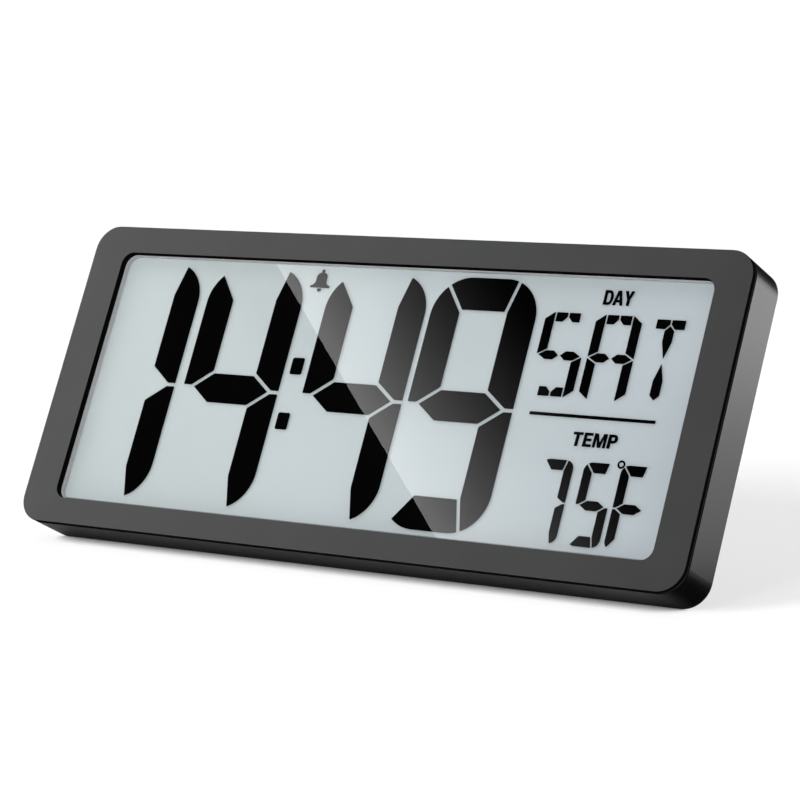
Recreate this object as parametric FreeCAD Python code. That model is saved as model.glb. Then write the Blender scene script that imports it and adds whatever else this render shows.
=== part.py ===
import FreeCAD, Part
import math
import os

# Day clock: a wide flat case with a large segment display, leaning back on a folding rear stand.
# Everything is first built upright: X to the right, Z up the face, Y from the front to the back,
# with the centre of the front face at zero. At the end the whole clock is leaned back and lifted
# so that the middle of its footprint is the origin. Lengths are in millimetres, angles in degrees.

# Driving dimensions: case
WIDTH = 360.0
HEIGHT = 151.0
DEPTH = 25.4
CORNER_R = 12.0
LEAN = 25.7
WALL = 2.2
REAR_WALL = 2.0
REAR_EDGE_R = 0.6
BEZEL_EDGE = 2.2
BEZEL_EDGE_R = 0.5
REVEAL = 1.5
SKIRT_GAP = 0.15
SKIRT_T = 1.4
SKIRT_REACH = 5.0
DISH = 1.5

# Driving dimensions: window and display stack
MARGIN_X = 17.4
MARGIN_Z = 12.8
WINDOW_R = 6.0
WINDOW_WALL = 3.4
TAPE_T = 0.1
TAPE_W = 3.5
LENS_T = 1.5
LENS_LAP = 4.5
STACK_R = 4.0
BAND_T = 1.6
GLASS_T = 0.9
CELL_T = 0.1
REFLECTOR_T = 0.2
GLASS_LAP = 2.8
CONTACT_LEDGE = 4.0
HOLDER_T = 2.0
FIT = 0.3

# Driving dimensions: stand
STAND_W = 72.0
STAND_T = 3.2
STAND_HINGE_UP = 86.0
STAND_OPEN = 43.0
STAND_BARREL_R = 1.9
STAND_PIN_R = 1.0
STAND_PIN_SEAT = 3.0
RECESS_DEPTH = 4.2
POCKET_T = 1.6
STOP_GAP = 0.05
RUNNING = 0.05
FOOT_R = 2.1
FOOT_W = 58.0
FOLD_SLACK = 0.3

# Driving dimensions: battery bay and its door
CELL_D = 10.5
CELL_L = 44.5
CELL_GAP = 0.7
NUB_L = 0.8
NUB_R = 1.9
BAY_INSET = 85.0
BAY_Z = -8.0
BAY_END_ROOM = 5.0
BAY_FLOOR_T = 1.0
BAY_WALL = 2.4
DOOR_T = 1.6
DOOR_LAP = 1.0
DOOR_SINK = 0.2
DOOR_BARREL_R = 1.4
DOOR_PIN_R = 0.8
DOOR_PIN_L = 2.0
LATCH_T = 1.0
LATCH_W = 12.0
LATCH_L = 2.0
LATCH_CLEAR = 0.9
PAD_GAP = 0.1
PAD_W = 1.2
CONTACT_T = 0.4
CONTACT_SIDE = 8.4
LEAF_W = 3.6
LEAF_FOOT = 2.8
LEAF_TIP = 0.6
TAB_W = 2.4
TAB_LEFT = 2.0
LEAD_R = 0.6
LEAD_STEP = 3.0
LEAD_RUN = 5.0

# Driving dimensions: board and controls
PCB_T = 1.6
PCB_STANDOFF = 1.8
PCB_INSET_L = 40.0
PCB_INSET_R = 30.0
PCB_STRIP_H = 26.2
PCB_TAB_SIDE = 16.0
PCB_TAB_OVER = 12.0
PCB_ROW_UP = 16.2
ZEBRA_T = 2.2
ZEBRA_GAP = 16.0
CHIP_R = 8.5
CHIP_H = 2.4
CRYSTAL_L = 6.0
CRYSTAL_R = 1.0
CRYSTAL_LEAD = 3.0
CAPACITOR_R = 2.5
CAPACITOR_H = 3.4
CAPACITOR_PITCH = 10.0
BEAD_R = 1.2
BEAD_UP = 3.0
BUTTON_NAMES = ["set", "up", "down", "mode", "snooze"]
BUTTON_SIDE = 28.0
BUTTON_INSET = 18.0
BUTTON_Z = 14.0
BUTTON_R = 4.0
BUTTON_PROUD = 0.8
BUTTON_FLANGE_R = 5.2
BUTTON_FLANGE_T = 1.0
BUTTON_TRAVEL = 0.8
TACT_SIDE = 6.0
TACT_H = 3.5
PLUNGER_R = 1.7
PLUNGER_H = 2.2
KNOB_SHIFT = 2.0
KNOB_Z = -10.0
KNOB_W = 5.0
KNOB_H = 4.0
KNOB_TRAVEL = 4.0
KNOB_PROUD = 0.7
SWITCH_H = 4.0
BUZZER_R = 6.0
BUZZER_H = 5.0
BUZZER_INSET = 24.0
BUZZER_Z = -16.0
SOUND_HOLE_R = 0.9
SOUND_RING_R = 3.4
AIR_SLOT_W = 1.4
AIR_SLOT_H = 9.0
AIR_SLOT_PITCH = 4.0

# Driving dimensions: wall hangers and screws
KEYHOLE_X = 110.0
KEYHOLE_DOWN = 25.5
KEYHOLE_R = 4.5
KEYHOLE_SLOT_R = 2.2
KEYHOLE_SLOT_L = 9.0
KEYHOLE_RIM = 0.8
SCREW_INSET_X = 8.0
SCREW_INSET_Z = 15.5
SCREW_R = 1.5
SCREW_HEAD_R = 2.7
SCREW_HEAD_H = 1.8
SCREW_BITE = 6.0
BOSS_R = 3.8
BEZEL_BOSS_R = 3.4
SCREW_SEAT = 4.0
SMALL_SCREW_R = 1.0
SMALL_HEAD_R = 1.9
SMALL_HEAD_H = 1.2
SMALL_SCREW_BITE = 4.0
PILLAR_R = 2.6

# Driving dimensions: figures on the display, each placed from the nearest edge of the window
DIGIT_DOWN = 1.8
DIGIT_UP = 4.6
DIGIT_BAR_W = 15.4
DIGIT_BAR_H = 15.6
DIGIT_GAP = 1.7
DIGIT_R = 19.0
HOUR_INSET = 31.5
HOUR_STEP = 5.3
COLON_STEP = 13.7
MINUTE_STEP = 2.9
MINUTE_INSET = 89.0
COLON_SIDE = 6.8
COLON_H = 8.2
COLON_ZS = [13.3, -13.6]
BELL_DOWN = 1.3
BELL_SHIFT = 0.55
BELL_W = 11.0
BELL_H = 11.1
BELL_BODY_W = 6.0
BELL_SHOULDER_R = 2.4
BELL_KNOB_R = 0.9
BELL_LIP = 1.1
BELL_CLAPPER_R = 1.2
BELL_CLAPPER_H = 1.6
BELL_GAP = 0.35
RULE_INSETS = [80.3, 17.6]
RULE_Z = -0.4
RULE_T = 1.5
LETTER_INSETS = [72.6, 46.8, 21.2]
LETTER_W = 23.0
LETTER_DOWN = 16.1
LETTER_OVER_RULE = 8.2
LETTER_BAR_W = 4.7
LETTER_BAR_H = 4.3
LETTER_GAP = 0.7
LETTER_R = 2.0
LETTER_CUT_W = 4.4
LETTER_CUT_H = 3.2
NOTCH_W = 5.4
NOTCH_H = 2.6
LOZENGE_INSET = 0.9
LOZENGE_TAPER = 3.6
LOZENGE_NOSE = 2.5
KITE_SHOULDER = 2.2
KITE_TAPER = 7.8
ROOF_W = 14.0
ROOF_SLANT = 2.0
ROOF_DROP = 0.8
TEMP_INSETS = [51.8, 30.6, 12.4]
TEMP_W = 16.0
TEMP_UNDER_RULE = 19.9
TEMP_UP = 5.0
TEMP_BAR_W = 4.4
TEMP_BAR_H = 4.7
TEMP_GAP = 0.7
TEMP_R = 4.0
DEGREE_INSET = 29.0
DEGREE_R = 1.9
DEGREE_HOLE_R = 1.0

# Planes of the stack, from the front to the back
WINDOW_W = WIDTH - 2 * MARGIN_X
WINDOW_H = HEIGHT - 2 * MARGIN_Z
LEDGE_Y = DISH + WINDOW_WALL
LENS_Y = LEDGE_Y + TAPE_T
BAND_Y = LENS_Y + LENS_T
GLASS_Y = BAND_Y + BAND_T
CELL_Y = GLASS_Y + GLASS_T
REAR_GLASS_Y = CELL_Y + CELL_T
REFLECTOR_Y = REAR_GLASS_Y + GLASS_T
HOLDER_Y = REFLECTOR_Y + REFLECTOR_T
HOLDER_BACK = HOLDER_Y + HOLDER_T
PCB_Y = HOLDER_BACK + PCB_STANDOFF
PCB_BACK = PCB_Y + PCB_T
SEAM_Y = HOLDER_BACK + 0.4
INNER_BACK = DEPTH - REAR_WALL
HOUSING_FRONT = BEZEL_EDGE + REVEAL
STACK_W = WINDOW_W + 2 * LENS_LAP
STACK_H = WINDOW_H + 2 * LENS_LAP
GLASS_W = WINDOW_W + 2 * GLASS_LAP
GLASS_H = WINDOW_H + 2 * GLASS_LAP
SKIRT_INSET = WALL + SKIRT_GAP

# Places that follow from the driving dimensions
EDGE_X = WINDOW_W / 2
EDGE_Z = WINDOW_H / 2
DIGIT_ROOM = WINDOW_W - HOUR_INSET - DIGIT_BAR_W - HOUR_STEP - COLON_STEP - MINUTE_STEP - MINUTE_INSET
DIGIT_W = DIGIT_ROOM / 3
DIGIT_TOP = EDGE_Z - DIGIT_DOWN
DIGIT_BOTTOM = DIGIT_UP - EDGE_Z
HOUR_RIGHTS = [HOUR_INSET + DIGIT_BAR_W - EDGE_X]
HOUR_RIGHTS.append(HOUR_RIGHTS[0] + HOUR_STEP + DIGIT_W)
MINUTE_RIGHTS = [HOUR_RIGHTS[1] + COLON_STEP + DIGIT_W, EDGE_X - MINUTE_INSET]
COLON_X = HOUR_RIGHTS[1] + COLON_STEP / 2
BELL_TOP = EDGE_Z - BELL_DOWN
RULE_LEFT, RULE_RIGHT = [EDGE_X - inset for inset in RULE_INSETS]
LETTER_XS = [EDGE_X - inset for inset in LETTER_INSETS]
LETTER_TOP = EDGE_Z - LETTER_DOWN
LETTER_BOTTOM = RULE_Z + LETTER_OVER_RULE
TEMP_RIGHTS = [EDGE_X - inset for inset in TEMP_INSETS]
TEMP_TOP = RULE_Z - TEMP_UNDER_RULE
TEMP_BOTTOM = TEMP_UP - EDGE_Z
DEGREE_X = EDGE_X - DEGREE_INSET
DEGREE_Z = TEMP_TOP + 0.1
BAY_X = BAY_INSET - WIDTH / 2
KEYHOLE_Z = HEIGHT / 2 - KEYHOLE_DOWN
SCREW_X = WIDTH / 2 - SCREW_INSET_X
SCREW_Z = HEIGHT / 2 - SCREW_INSET_Z
PILLAR_Z = SCREW_Z / 2
PCB_LEFT = PCB_INSET_L - WIDTH / 2
PCB_RIGHT = WIDTH / 2 - PCB_INSET_R
BUTTON_X = STAND_W / 2 + BUTTON_SIDE
BUTTON_PITCH = (PCB_RIGHT - BUTTON_INSET - BUTTON_X) / (len(BUTTON_NAMES) - 1)
KNOB_X = BUTTON_X + KNOB_SHIFT
PCB_BOTTOM = 1.0 - STACK_H / 2
PCB_STRIP_TOP = PCB_BOTTOM + PCB_STRIP_H
PCB_TAB_LEFT = BUTTON_X - PCB_TAB_SIDE
PCB_TAB_TOP = BUTTON_Z + PCB_TAB_OVER
PCB_ROW_Z = PCB_BOTTOM + PCB_ROW_UP
BUZZER_X = PCB_RIGHT - BUZZER_INSET
BEAD_X = PCB_RIGHT - 6.0
BEAD_Z = PCB_BOTTOM + 6.2
STAND_AXIS_Y = DEPTH - FOLD_SLACK - STAND_T / 2
STAND_AXIS_Z = STAND_HINGE_UP - HEIGHT / 2
RECESS_FLOOR = DEPTH - RECESS_DEPTH
DOOR_FRONT = DEPTH - DOOR_SINK - DOOR_T
BAY_L = CELL_L + BAY_END_ROOM * 2
BAY_H = 2 * CELL_D + 3 * CELL_GAP
BAY_FLOOR_Y = HOLDER_Y + 0.4 + BAY_FLOOR_T
DOOR_W = BAY_L + 2 * DOOR_LAP
DOOR_H = BAY_H + 2 * DOOR_LAP
DOOR_AXIS_Y = DEPTH - DOOR_SINK - DOOR_BARREL_R
DOOR_AXIS_Z = BAY_Z - DOOR_H / 2 + DOOR_BARREL_R
BUTTON_XS = [BUTTON_X + BUTTON_PITCH * i for i in range(len(BUTTON_NAMES))]
ZEBRA_SPANS = [(PCB_LEFT + 6.0, -ZEBRA_GAP / 2), (ZEBRA_GAP / 2, PCB_RIGHT - ZEBRA_GAP)]
CELL_ZS = [BAY_Z - (CELL_D + CELL_GAP) / 2, BAY_Z + (CELL_D + CELL_GAP) / 2]
CELL_AXIS_Y = BAY_FLOOR_Y + 0.2 + CELL_D / 2
TAB_Y = CELL_AXIS_Y - 0.85
CASE_SCREWS = [(side * SCREW_X, row * SCREW_Z) for side in (-1, 1) for row in (-1, 0, 1)]
HOLDER_SCREWS = [(side * SCREW_X, row * PILLAR_Z) for side in (-1, 1) for row in (-1, 1)]
PCB_SCREWS = [(x, PCB_ROW_Z) for x in (PCB_LEFT + 8.0, -46.0, 30.0, PCB_RIGHT - 7.0)]
PCB_SCREWS += [(x, 2.0) for x in (PCB_TAB_LEFT + 6.0, PCB_RIGHT - 7.0)]


# Small helpers
def vec(x, y, z):
    return FreeCAD.Vector(x, y, z)


def block(x0, x1, y0, y1, z0, z1):
    return Part.makeBox(x1 - x0, y1 - y0, z1 - z0, vec(x0, y0, z0))


def rod(x, z, radius, y0, y1):
    return Part.makeCylinder(radius, y1 - y0, vec(x, y0, z), vec(0, 1, 0))


def shaft(x0, x1, y, z, radius):
    return Part.makeCylinder(radius, x1 - x0, vec(x0, y, z), vec(1, 0, 0))


def outline(width, height, radius, y, cx=0.0, cz=0.0):
    """Rounded rectangle in the plane of the face, as a closed wire."""
    hw = width / 2 - radius
    hh = height / 2 - radius
    edges = []
    corners = [(hw, hh, 0), (-hw, hh, 90), (-hw, -hh, 180), (hw, -hh, 270)]
    for i, (x, z, start) in enumerate(corners):
        spots = []
        for turn in (start, start + 45, start + 90):
            a = math.radians(turn)
            spots.append(vec(cx + x + radius * math.cos(a), y, cz + z + radius * math.sin(a)))
        edges.append(Part.Arc(*spots).toShape())
        nx, nz, nstart = corners[(i + 1) % 4]
        a = math.radians(nstart)
        nxt = vec(cx + nx + radius * math.cos(a), y, cz + nz + radius * math.sin(a))
        if spots[2].distanceToPoint(nxt) > 1e-6:
            edges.append(Part.LineSegment(spots[2], nxt).toShape())
    return Part.Wire(edges)


def slab(width, height, radius, y0, y1, cx=0.0, cz=0.0):
    face = Part.Face(outline(width, height, radius, y0, cx, cz))
    return face.extrude(vec(0, y1 - y0, 0))


def frame(width, height, radius, rail, y0, y1):
    """Rounded frame whose rails are all equally wide."""
    inner_r = max(radius - rail, 0.5)
    hole = slab(width - 2 * rail, height - 2 * rail, inner_r, y0 - 1, y1 + 1)
    return slab(width, height, radius, y0, y1).cut(hole)


def polygon(points, y0, y1):
    spots = [vec(x, y0, z) for x, z in points]
    wire = Part.makePolygon(spots + [spots[0]])
    return Part.Face(wire).extrude(vec(0, y1 - y0, 0))


def strip(p, q, width, y0, y1):
    """Thin bar from p to q in the plane of the face."""
    length = math.hypot(q[0] - p[0], q[1] - p[1])
    nx = -(q[1] - p[1]) / length * width / 2
    nz = (q[0] - p[0]) / length * width / 2
    points = [(p[0] + nx, p[1] + nz), (q[0] + nx, q[1] + nz), (q[0] - nx, q[1] - nz), (p[0] - nx, p[1] - nz)]
    return polygon(points, y0, y1)


def join(shapes):
    whole = shapes[0]
    if len(shapes) > 1:
        whole = shapes[0].fuse(shapes[1:])
    return whole.removeSplitter()


def group(shapes):
    return Part.makeCompound(shapes)


def tube(points, radius, bends):
    """Wire: straight runs joined by tangent arcs, with one bend radius for each inner point."""
    edges = []
    start = vec(*points[0])
    for before, corner, after, bend in zip(points, points[1:], points[2:], bends):
        p = vec(*corner)
        back = (vec(*before) - p).normalize()
        ahead = (vec(*after) - p).normalize()
        half = back.getAngle(ahead) / 2
        reach = bend / math.tan(half)
        mid = (back + ahead).normalize()
        centre = p + mid * (bend / math.sin(half))
        a = p + back * reach
        b = p + ahead * reach
        edges.append(Part.LineSegment(start, a).toShape())
        edges.append(Part.Arc(a, centre - mid * bend, b).toShape())
        start = b
    edges.append(Part.LineSegment(start, vec(*points[-1])).toShape())
    path = Part.Wire(edges)
    ring = Part.Wire(Part.makeCircle(radius, vec(*points[0]), vec(*points[1]) - vec(*points[0])))
    pipe = Part.BRepOffsetAPI.MakePipeShell(path)
    pipe.setTransitionMode(0)
    pipe.add(ring)
    pipe.build()
    pipe.makeSolid()
    return pipe.shape()


def near_edges(shape, test):
    return [e for e in shape.Edges if test(e.BoundBox)]


# Front of the case
def front_bezel():
    body = slab(WIDTH, HEIGHT, CORNER_R, 0, BEZEL_EDGE)
    rim = near_edges(body, lambda b: b.YMax < 0.01)
    body = body.makeFillet(BEZEL_EDGE_R, rim)
    inner_w = WIDTH - 2 * SKIRT_INSET
    inner_h = HEIGHT - 2 * SKIRT_INSET
    plug = slab(inner_w, inner_h, CORNER_R - SKIRT_INSET, BEZEL_EDGE, LEDGE_Y)
    skirt = frame(inner_w, inner_h, CORNER_R - SKIRT_INSET, SKIRT_T, LEDGE_Y, LEDGE_Y + SKIRT_REACH)
    bosses = [rod(x, z, BEZEL_BOSS_R, LEDGE_Y, SEAM_Y) for x, z in CASE_SCREWS]
    pillars = [rod(x, z, PILLAR_R, LEDGE_Y, HOLDER_Y) for x, z in HOLDER_SCREWS]
    body = join([body, plug, skirt] + bosses + pillars)
    window = slab(WINDOW_W, WINDOW_H, WINDOW_R, -1, LEDGE_Y + 1)
    lip = outline(WINDOW_W, WINDOW_H, WINDOW_R, DISH)
    edge = 2 * BEZEL_EDGE_R
    brow = outline(WIDTH - edge, HEIGHT - edge, CORNER_R - BEZEL_EDGE_R, 0)
    slope = Part.makeLoft([brow, lip], True, True)
    pilots = [rod(x, z, SCREW_R, SEAM_Y - SCREW_BITE, SEAM_Y + 1) for x, z in CASE_SCREWS]
    small = [rod(x, z, SMALL_SCREW_R, HOLDER_Y - SMALL_SCREW_BITE, HOLDER_Y + 1) for x, z in HOLDER_SCREWS]
    return body.cut([window, slope] + pilots + small)


def lens_tape():
    w = WINDOW_W + 2 * (TAPE_W + 0.6)
    h = WINDOW_H + 2 * (TAPE_W + 0.6)
    return frame(w, h, WINDOW_R + TAPE_W, TAPE_W, LEDGE_Y, LENS_Y)


def front_lens():
    return slab(STACK_W, STACK_H, STACK_R, LENS_Y, BAND_Y)


def display_frame():
    body = slab(STACK_W, STACK_H, STACK_R, BAND_Y, HOLDER_Y)
    window = slab(WINDOW_W, WINDOW_H, WINDOW_R, BAND_Y - 1, HOLDER_Y + 1)
    pocket = slab(GLASS_W + 2 * FIT, GLASS_H + 2 * FIT, 1.0, GLASS_Y, HOLDER_Y + 1)
    return body.cut([window, pocket])


# Liquid crystal cell
def lcd_front_glass():
    return slab(GLASS_W, GLASS_H, 0.6, GLASS_Y, CELL_Y)


def rear_pane(y0, y1):
    cz = CONTACT_LEDGE / 2
    return slab(GLASS_W, GLASS_H - CONTACT_LEDGE, 0.6, y0, y1, 0, cz)


def lcd_seal():
    outer = rear_pane(CELL_Y, REAR_GLASS_Y)
    inner_w = GLASS_W - 2.4
    inner_h = GLASS_H - CONTACT_LEDGE - 2.4
    hole = slab(inner_w, inner_h, 0.6, CELL_Y - 1, REAR_GLASS_Y + 1, 0, CONTACT_LEDGE / 2)
    return outer.cut(hole)


def lcd_rear_glass():
    return rear_pane(REAR_GLASS_Y, REFLECTOR_Y)


def lcd_reflector():
    return rear_pane(REFLECTOR_Y, HOLDER_Y)


# Figures: a frame with two windows, parted by thin gaps into seven bars
def corner_lines(left, right, level, way, bar_w, bar_h, gap):
    """Slanted gaps between a level bar and the upright bars on its two sides."""
    in_l = left + bar_w
    in_r = right - bar_w
    left_line = ((left + 0.26 * bar_w, level + way * 0.06 * bar_h), (in_l + 0.6, level + way * bar_h * 1.06))
    right_line = ((right - 0.76 * bar_w, level - way * gap), (in_r - 0.5 * gap, level + way * bar_h * 1.02))
    return [left_line, right_line]


def split_lines(left, right, level, way, bar_w, bar_h, gap):
    """Upright gaps beside and in the middle of a level bar that is made of two halves."""
    spots = (left + bar_w + gap / 2, (left + right) / 2, right - bar_w - gap / 2)
    return [((x, level - way), (x, level + way * (bar_h + 1))) for x in spots]


def notch(cx, level, way, bar_h):
    """Pointed notch between the two halves of a level bar."""
    open_z = level + way * (bar_h + 0.2)
    tip_z = level + way * (bar_h - NOTCH_H)
    half = NOTCH_W / 2
    return polygon([(cx - half, open_z), (cx + half, open_z), (cx, tip_z)], CELL_Y - 1, REAR_GLASS_Y + 1)


def corner_cuts(left, right, top, bottom):
    """Triangles that cut the four outer corners of a letter off at a slant."""
    cuts = []
    for side, across in ((left, 1), (right, -1)):
        for level, way in ((top, -1), (bottom, 1)):
            spots = [(side - across, level - way), (side + across * LETTER_CUT_W, level - way),
                     (side + across * LETTER_CUT_W, level), (side, level + way * LETTER_CUT_H),
                     (side - across, level + way * LETTER_CUT_H)]
            cuts.append(polygon(spots, CELL_Y - 1, REAR_GLASS_Y + 1))
    return cuts


def bars(right, width, top, bottom, bar_w, bar_h, gap, radius, wanted, split=False):
    """Bars of one figure. wanted names them a to g in the usual order, clockwise from the top."""
    y0 = CELL_Y
    y1 = REAR_GLASS_Y
    left = right - width
    cx = (left + right) / 2
    mid = (top + bottom) / 2 - 0.014 * (top - bottom)
    in_l = left + bar_w
    in_r = right - bar_w
    body = slab(width, top - bottom, radius, y0, y1, cx, (top + bottom) / 2)
    upper = block(in_l, in_r, y0 - 1, y1 + 1, mid + bar_h * 0.46, top - bar_h)
    lower = block(in_l, in_r, y0 - 1, y1 + 1, bottom + bar_h, mid - bar_h * 0.46)
    cuts = [upper, lower]
    lines = []
    inset = 0.36 * bar_w
    rise_h = 0.52 * bar_h
    if split:
        cuts += corner_cuts(left, right, top, bottom)
        inset = LOZENGE_INSET - 0.6 * gap
        rise_h = (bar_w + 0.8 - inset) * 0.48 * bar_h / LOZENGE_TAPER
    for level, way in ((top, -1), (bottom, 1)):
        if split:
            lines += split_lines(left, right, level, way, bar_w, bar_h, gap)
            cuts.append(notch(cx, level, way, bar_h))
        else:
            lines += corner_lines(left, right, level, way, bar_w, bar_h, gap)
    for side, inner, way in ((left, in_l, 1), (right, in_r, -1)):
        joint = side + way * inset
        lines.append(((side - way, mid), (joint, mid)))
        for rise in (-1, 1):
            start = (joint - way * 0.05 * bar_w, mid)
            lines.append((start, (inner + way * 0.8, mid + rise * rise_h)))
    for p, q in lines:
        cuts.append(strip(p, q, gap, y0 - 1, y1 + 1))
    pieces = body.cut(cuts).Solids
    places = {
        "a": (cx, top - bar_h / 2),
        "b": (right - bar_w / 2, (top + mid) / 2),
        "c": (right - bar_w / 2, (bottom + mid) / 2),
        "d": (cx, bottom + bar_h / 2),
        "e": (left + bar_w / 2, (bottom + mid) / 2),
        "f": (left + bar_w / 2, (top + mid) / 2),
        "g": (cx, mid),
    }
    kept = []
    for piece in pieces:
        c = piece.CenterOfMass
        nearest = min(places, key=lambda k: math.hypot(c.x - places[k][0], (c.z - places[k][1]) * 1.2))
        if piece.Volume > (y1 - y0) * bar_w * bar_h * 0.2 and nearest in wanted:
            kept.append(piece)
    return kept


def big_figure(right, wanted):
    return bars(right, DIGIT_W, DIGIT_TOP, DIGIT_BOTTOM, DIGIT_BAR_W, DIGIT_BAR_H, DIGIT_GAP, DIGIT_R, wanted)


def hour_digits():
    return group(big_figure(HOUR_RIGHTS[0], "bc") + big_figure(HOUR_RIGHTS[1], "bcfg"))


def minute_digits():
    return group(big_figure(MINUTE_RIGHTS[0], "bcfg") + big_figure(MINUTE_RIGHTS[1], "abcdfg"))


def colon_dots():
    return group([slab(COLON_SIDE, COLON_H, 1.0, CELL_Y, REAR_GLASS_Y, COLON_X, z) for z in COLON_ZS])


def alarm_bell():
    """Bell sign: knob, body with round shoulders and flared mouth, with the clapper apart below them."""
    y0 = CELL_Y
    y1 = REAR_GLASS_Y
    x = COLON_X + BELL_SHIFT
    half = BELL_W / 2
    flare = half - BELL_BODY_W / 2
    low = BELL_TOP - BELL_H
    base = low + BELL_CLAPPER_H + BELL_GAP
    waist = base + BELL_LIP + flare
    crown = BELL_TOP - 1.8 * BELL_KNOB_R
    knob = rod(x, BELL_TOP - BELL_KNOB_R, BELL_KNOB_R, y0, y1)
    body = slab(BELL_BODY_W, crown - base, BELL_SHOULDER_R, y0, y1, x, (crown + base) / 2)
    scoops = [rod(x + side * half, waist, flare, y0 - 1, y1 + 1) for side in (-1, 1)]
    mouth = block(x - half, x + half, y0, y1, base, waist).cut(scoops)
    clapper = rod(x, low + BELL_CLAPPER_R, BELL_CLAPPER_R, y0, y1)
    clapper = clapper.common(block(x - half, x + half, y0, y1, low, low + BELL_CLAPPER_H))
    return group(join([knob, body, mouth]).Solids + [clapper])


def rule_line():
    return block(RULE_LEFT, RULE_RIGHT, CELL_Y, REAR_GLASS_Y, RULE_Z - RULE_T / 2, RULE_Z + RULE_T / 2)


def letter(cx, wanted):
    right = cx + LETTER_W / 2
    kept = bars(right, LETTER_W, LETTER_TOP, LETTER_BOTTOM, LETTER_BAR_W, LETTER_BAR_H, LETTER_GAP, LETTER_R,
                wanted, True)
    mid = (LETTER_TOP + LETTER_BOTTOM) / 2 - 0.014 * (LETTER_TOP - LETTER_BOTTOM)
    tip = LETTER_W / 2 - LOZENGE_INSET
    half = 0.48 * LETTER_BAR_H
    nose = 0.5 + LOZENGE_NOSE
    shoulder = tip - LOZENGE_TAPER
    for way in (-1, 1):
        spots = [(0.5, 0), (nose, half), (shoulder, half), (tip, 0), (shoulder, -half), (nose, -half)]
        kept.append(polygon([(cx + way * x, mid + z) for x, z in spots], CELL_Y, REAR_GLASS_Y))
    return kept


def kite(cx, blunt, point):
    """Long kite in the middle of a letter, blunt at one end and pointed at the other."""
    half = LETTER_BAR_W / 2
    way = 1 if blunt > point else -1
    shoulder = blunt - way * KITE_SHOULDER
    waist = point + way * KITE_TAPER
    spots = [(0, blunt), (half, shoulder), (half, waist), (0, point), (-half, waist), (-half, shoulder)]
    return polygon([(cx + x, z) for x, z in spots], CELL_Y, REAR_GLASS_Y)


def roof_bars(cx, top):
    """The two short bars over a T, slanted where they meet."""
    pieces = []
    low = top - LETTER_BAR_H
    for way in (-1, 1):
        inner = LETTER_GAP / 2
        outer = ROOF_W / 2
        spots = [(inner, top), (outer, top), (outer, low), (inner + ROOF_SLANT, low),
                 (inner, top - LETTER_BAR_H / 2)]
        pieces.append(polygon([(cx + way * x, z) for x, z in spots], CELL_Y, REAR_GLASS_Y))
    return pieces


def day_letters():
    s, a, t = LETTER_XS
    mid = (LETTER_TOP + LETTER_BOTTOM) / 2
    top = LETTER_TOP - ROOF_DROP
    pieces = letter(s, "afcd") + letter(a, "abcef") + roof_bars(t, top)
    pieces.append(kite(t, top - LETTER_BAR_H / 2 - LETTER_GAP, mid + LETTER_GAP))
    pieces.append(kite(t, LETTER_BOTTOM + 2 * LETTER_GAP, mid - 2 * LETTER_GAP))
    return group(pieces)


def temperature_digits():
    pieces = []
    for right, wanted in zip(TEMP_RIGHTS, ("abc", "afgcd", "aefg")):
        pieces += bars(right, TEMP_W, TEMP_TOP, TEMP_BOTTOM, TEMP_BAR_W, TEMP_BAR_H, TEMP_GAP, TEMP_R, wanted)
    return group(pieces)


def degree_ring():
    ring = rod(DEGREE_X, DEGREE_Z, DEGREE_R, CELL_Y, REAR_GLASS_Y)
    return ring.cut(rod(DEGREE_X, DEGREE_Z, DEGREE_HOLE_R, CELL_Y - 1, REAR_GLASS_Y + 1))


# Holder, board and what is soldered to it
def bay_gap(extra, y0, y1):
    """Room for the battery bay, wider by extra all round."""
    w = BAY_L + 2 * BAY_WALL + 2 * extra
    h = BAY_H + 2 * BAY_WALL + 2 * extra
    return slab(w, h, 2.0, y0, y1, BAY_X, BAY_Z)


def zebra_blocks(extra, y0, y1):
    z0 = -GLASS_H / 2 + 0.5
    return [block(x0 - extra, x1 + extra, y0, y1, z0 - extra, z0 + ZEBRA_T + extra) for x0, x1 in ZEBRA_SPANS]


def lcd_holder():
    plate = slab(STACK_W, STACK_H, STACK_R, HOLDER_Y, HOLDER_BACK)
    ears = []
    for x, z in HOLDER_SCREWS:
        ears.append(slab(12.0, 9.0, 3.0, HOLDER_Y, HOLDER_BACK, x - math.copysign(1.7, x), z))
    bosses = [rod(x, z, PILLAR_R, HOLDER_BACK, PCB_Y) for x, z in PCB_SCREWS]
    body = join([plate] + ears + bosses)
    cuts = [bay_gap(1.0, HOLDER_Y - 1, HOLDER_BACK + 1)]
    cuts += zebra_blocks(FIT, HOLDER_Y - 1, HOLDER_BACK + 1)
    cuts += [rod(x, z, SMALL_SCREW_R, HOLDER_Y - 1, HOLDER_BACK + 1) for x, z in HOLDER_SCREWS]
    cuts += [rod(x, z, SMALL_SCREW_R, PCB_Y - SMALL_SCREW_BITE + 1.0, PCB_Y + 1) for x, z in PCB_SCREWS]
    cuts += [rod(x, z, BOSS_R + 1.0, HOLDER_Y - 1, HOLDER_BACK + 1) for x, z in CASE_SCREWS]
    return body.cut(cuts)


def zebra_strips():
    return group(zebra_blocks(0, CELL_Y, PCB_Y))


def main_board():
    strip_part = block(PCB_LEFT, PCB_RIGHT, PCB_Y, PCB_BACK, PCB_BOTTOM, PCB_STRIP_TOP)
    tab = block(PCB_TAB_LEFT, PCB_RIGHT, PCB_Y, PCB_BACK, PCB_STRIP_TOP, PCB_TAB_TOP)
    board = join([strip_part, tab])
    holes = [rod(x, z, SMALL_SCREW_R, PCB_Y - 1, PCB_BACK + 1) for x, z in PCB_SCREWS]
    return board.cut(holes)


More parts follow.
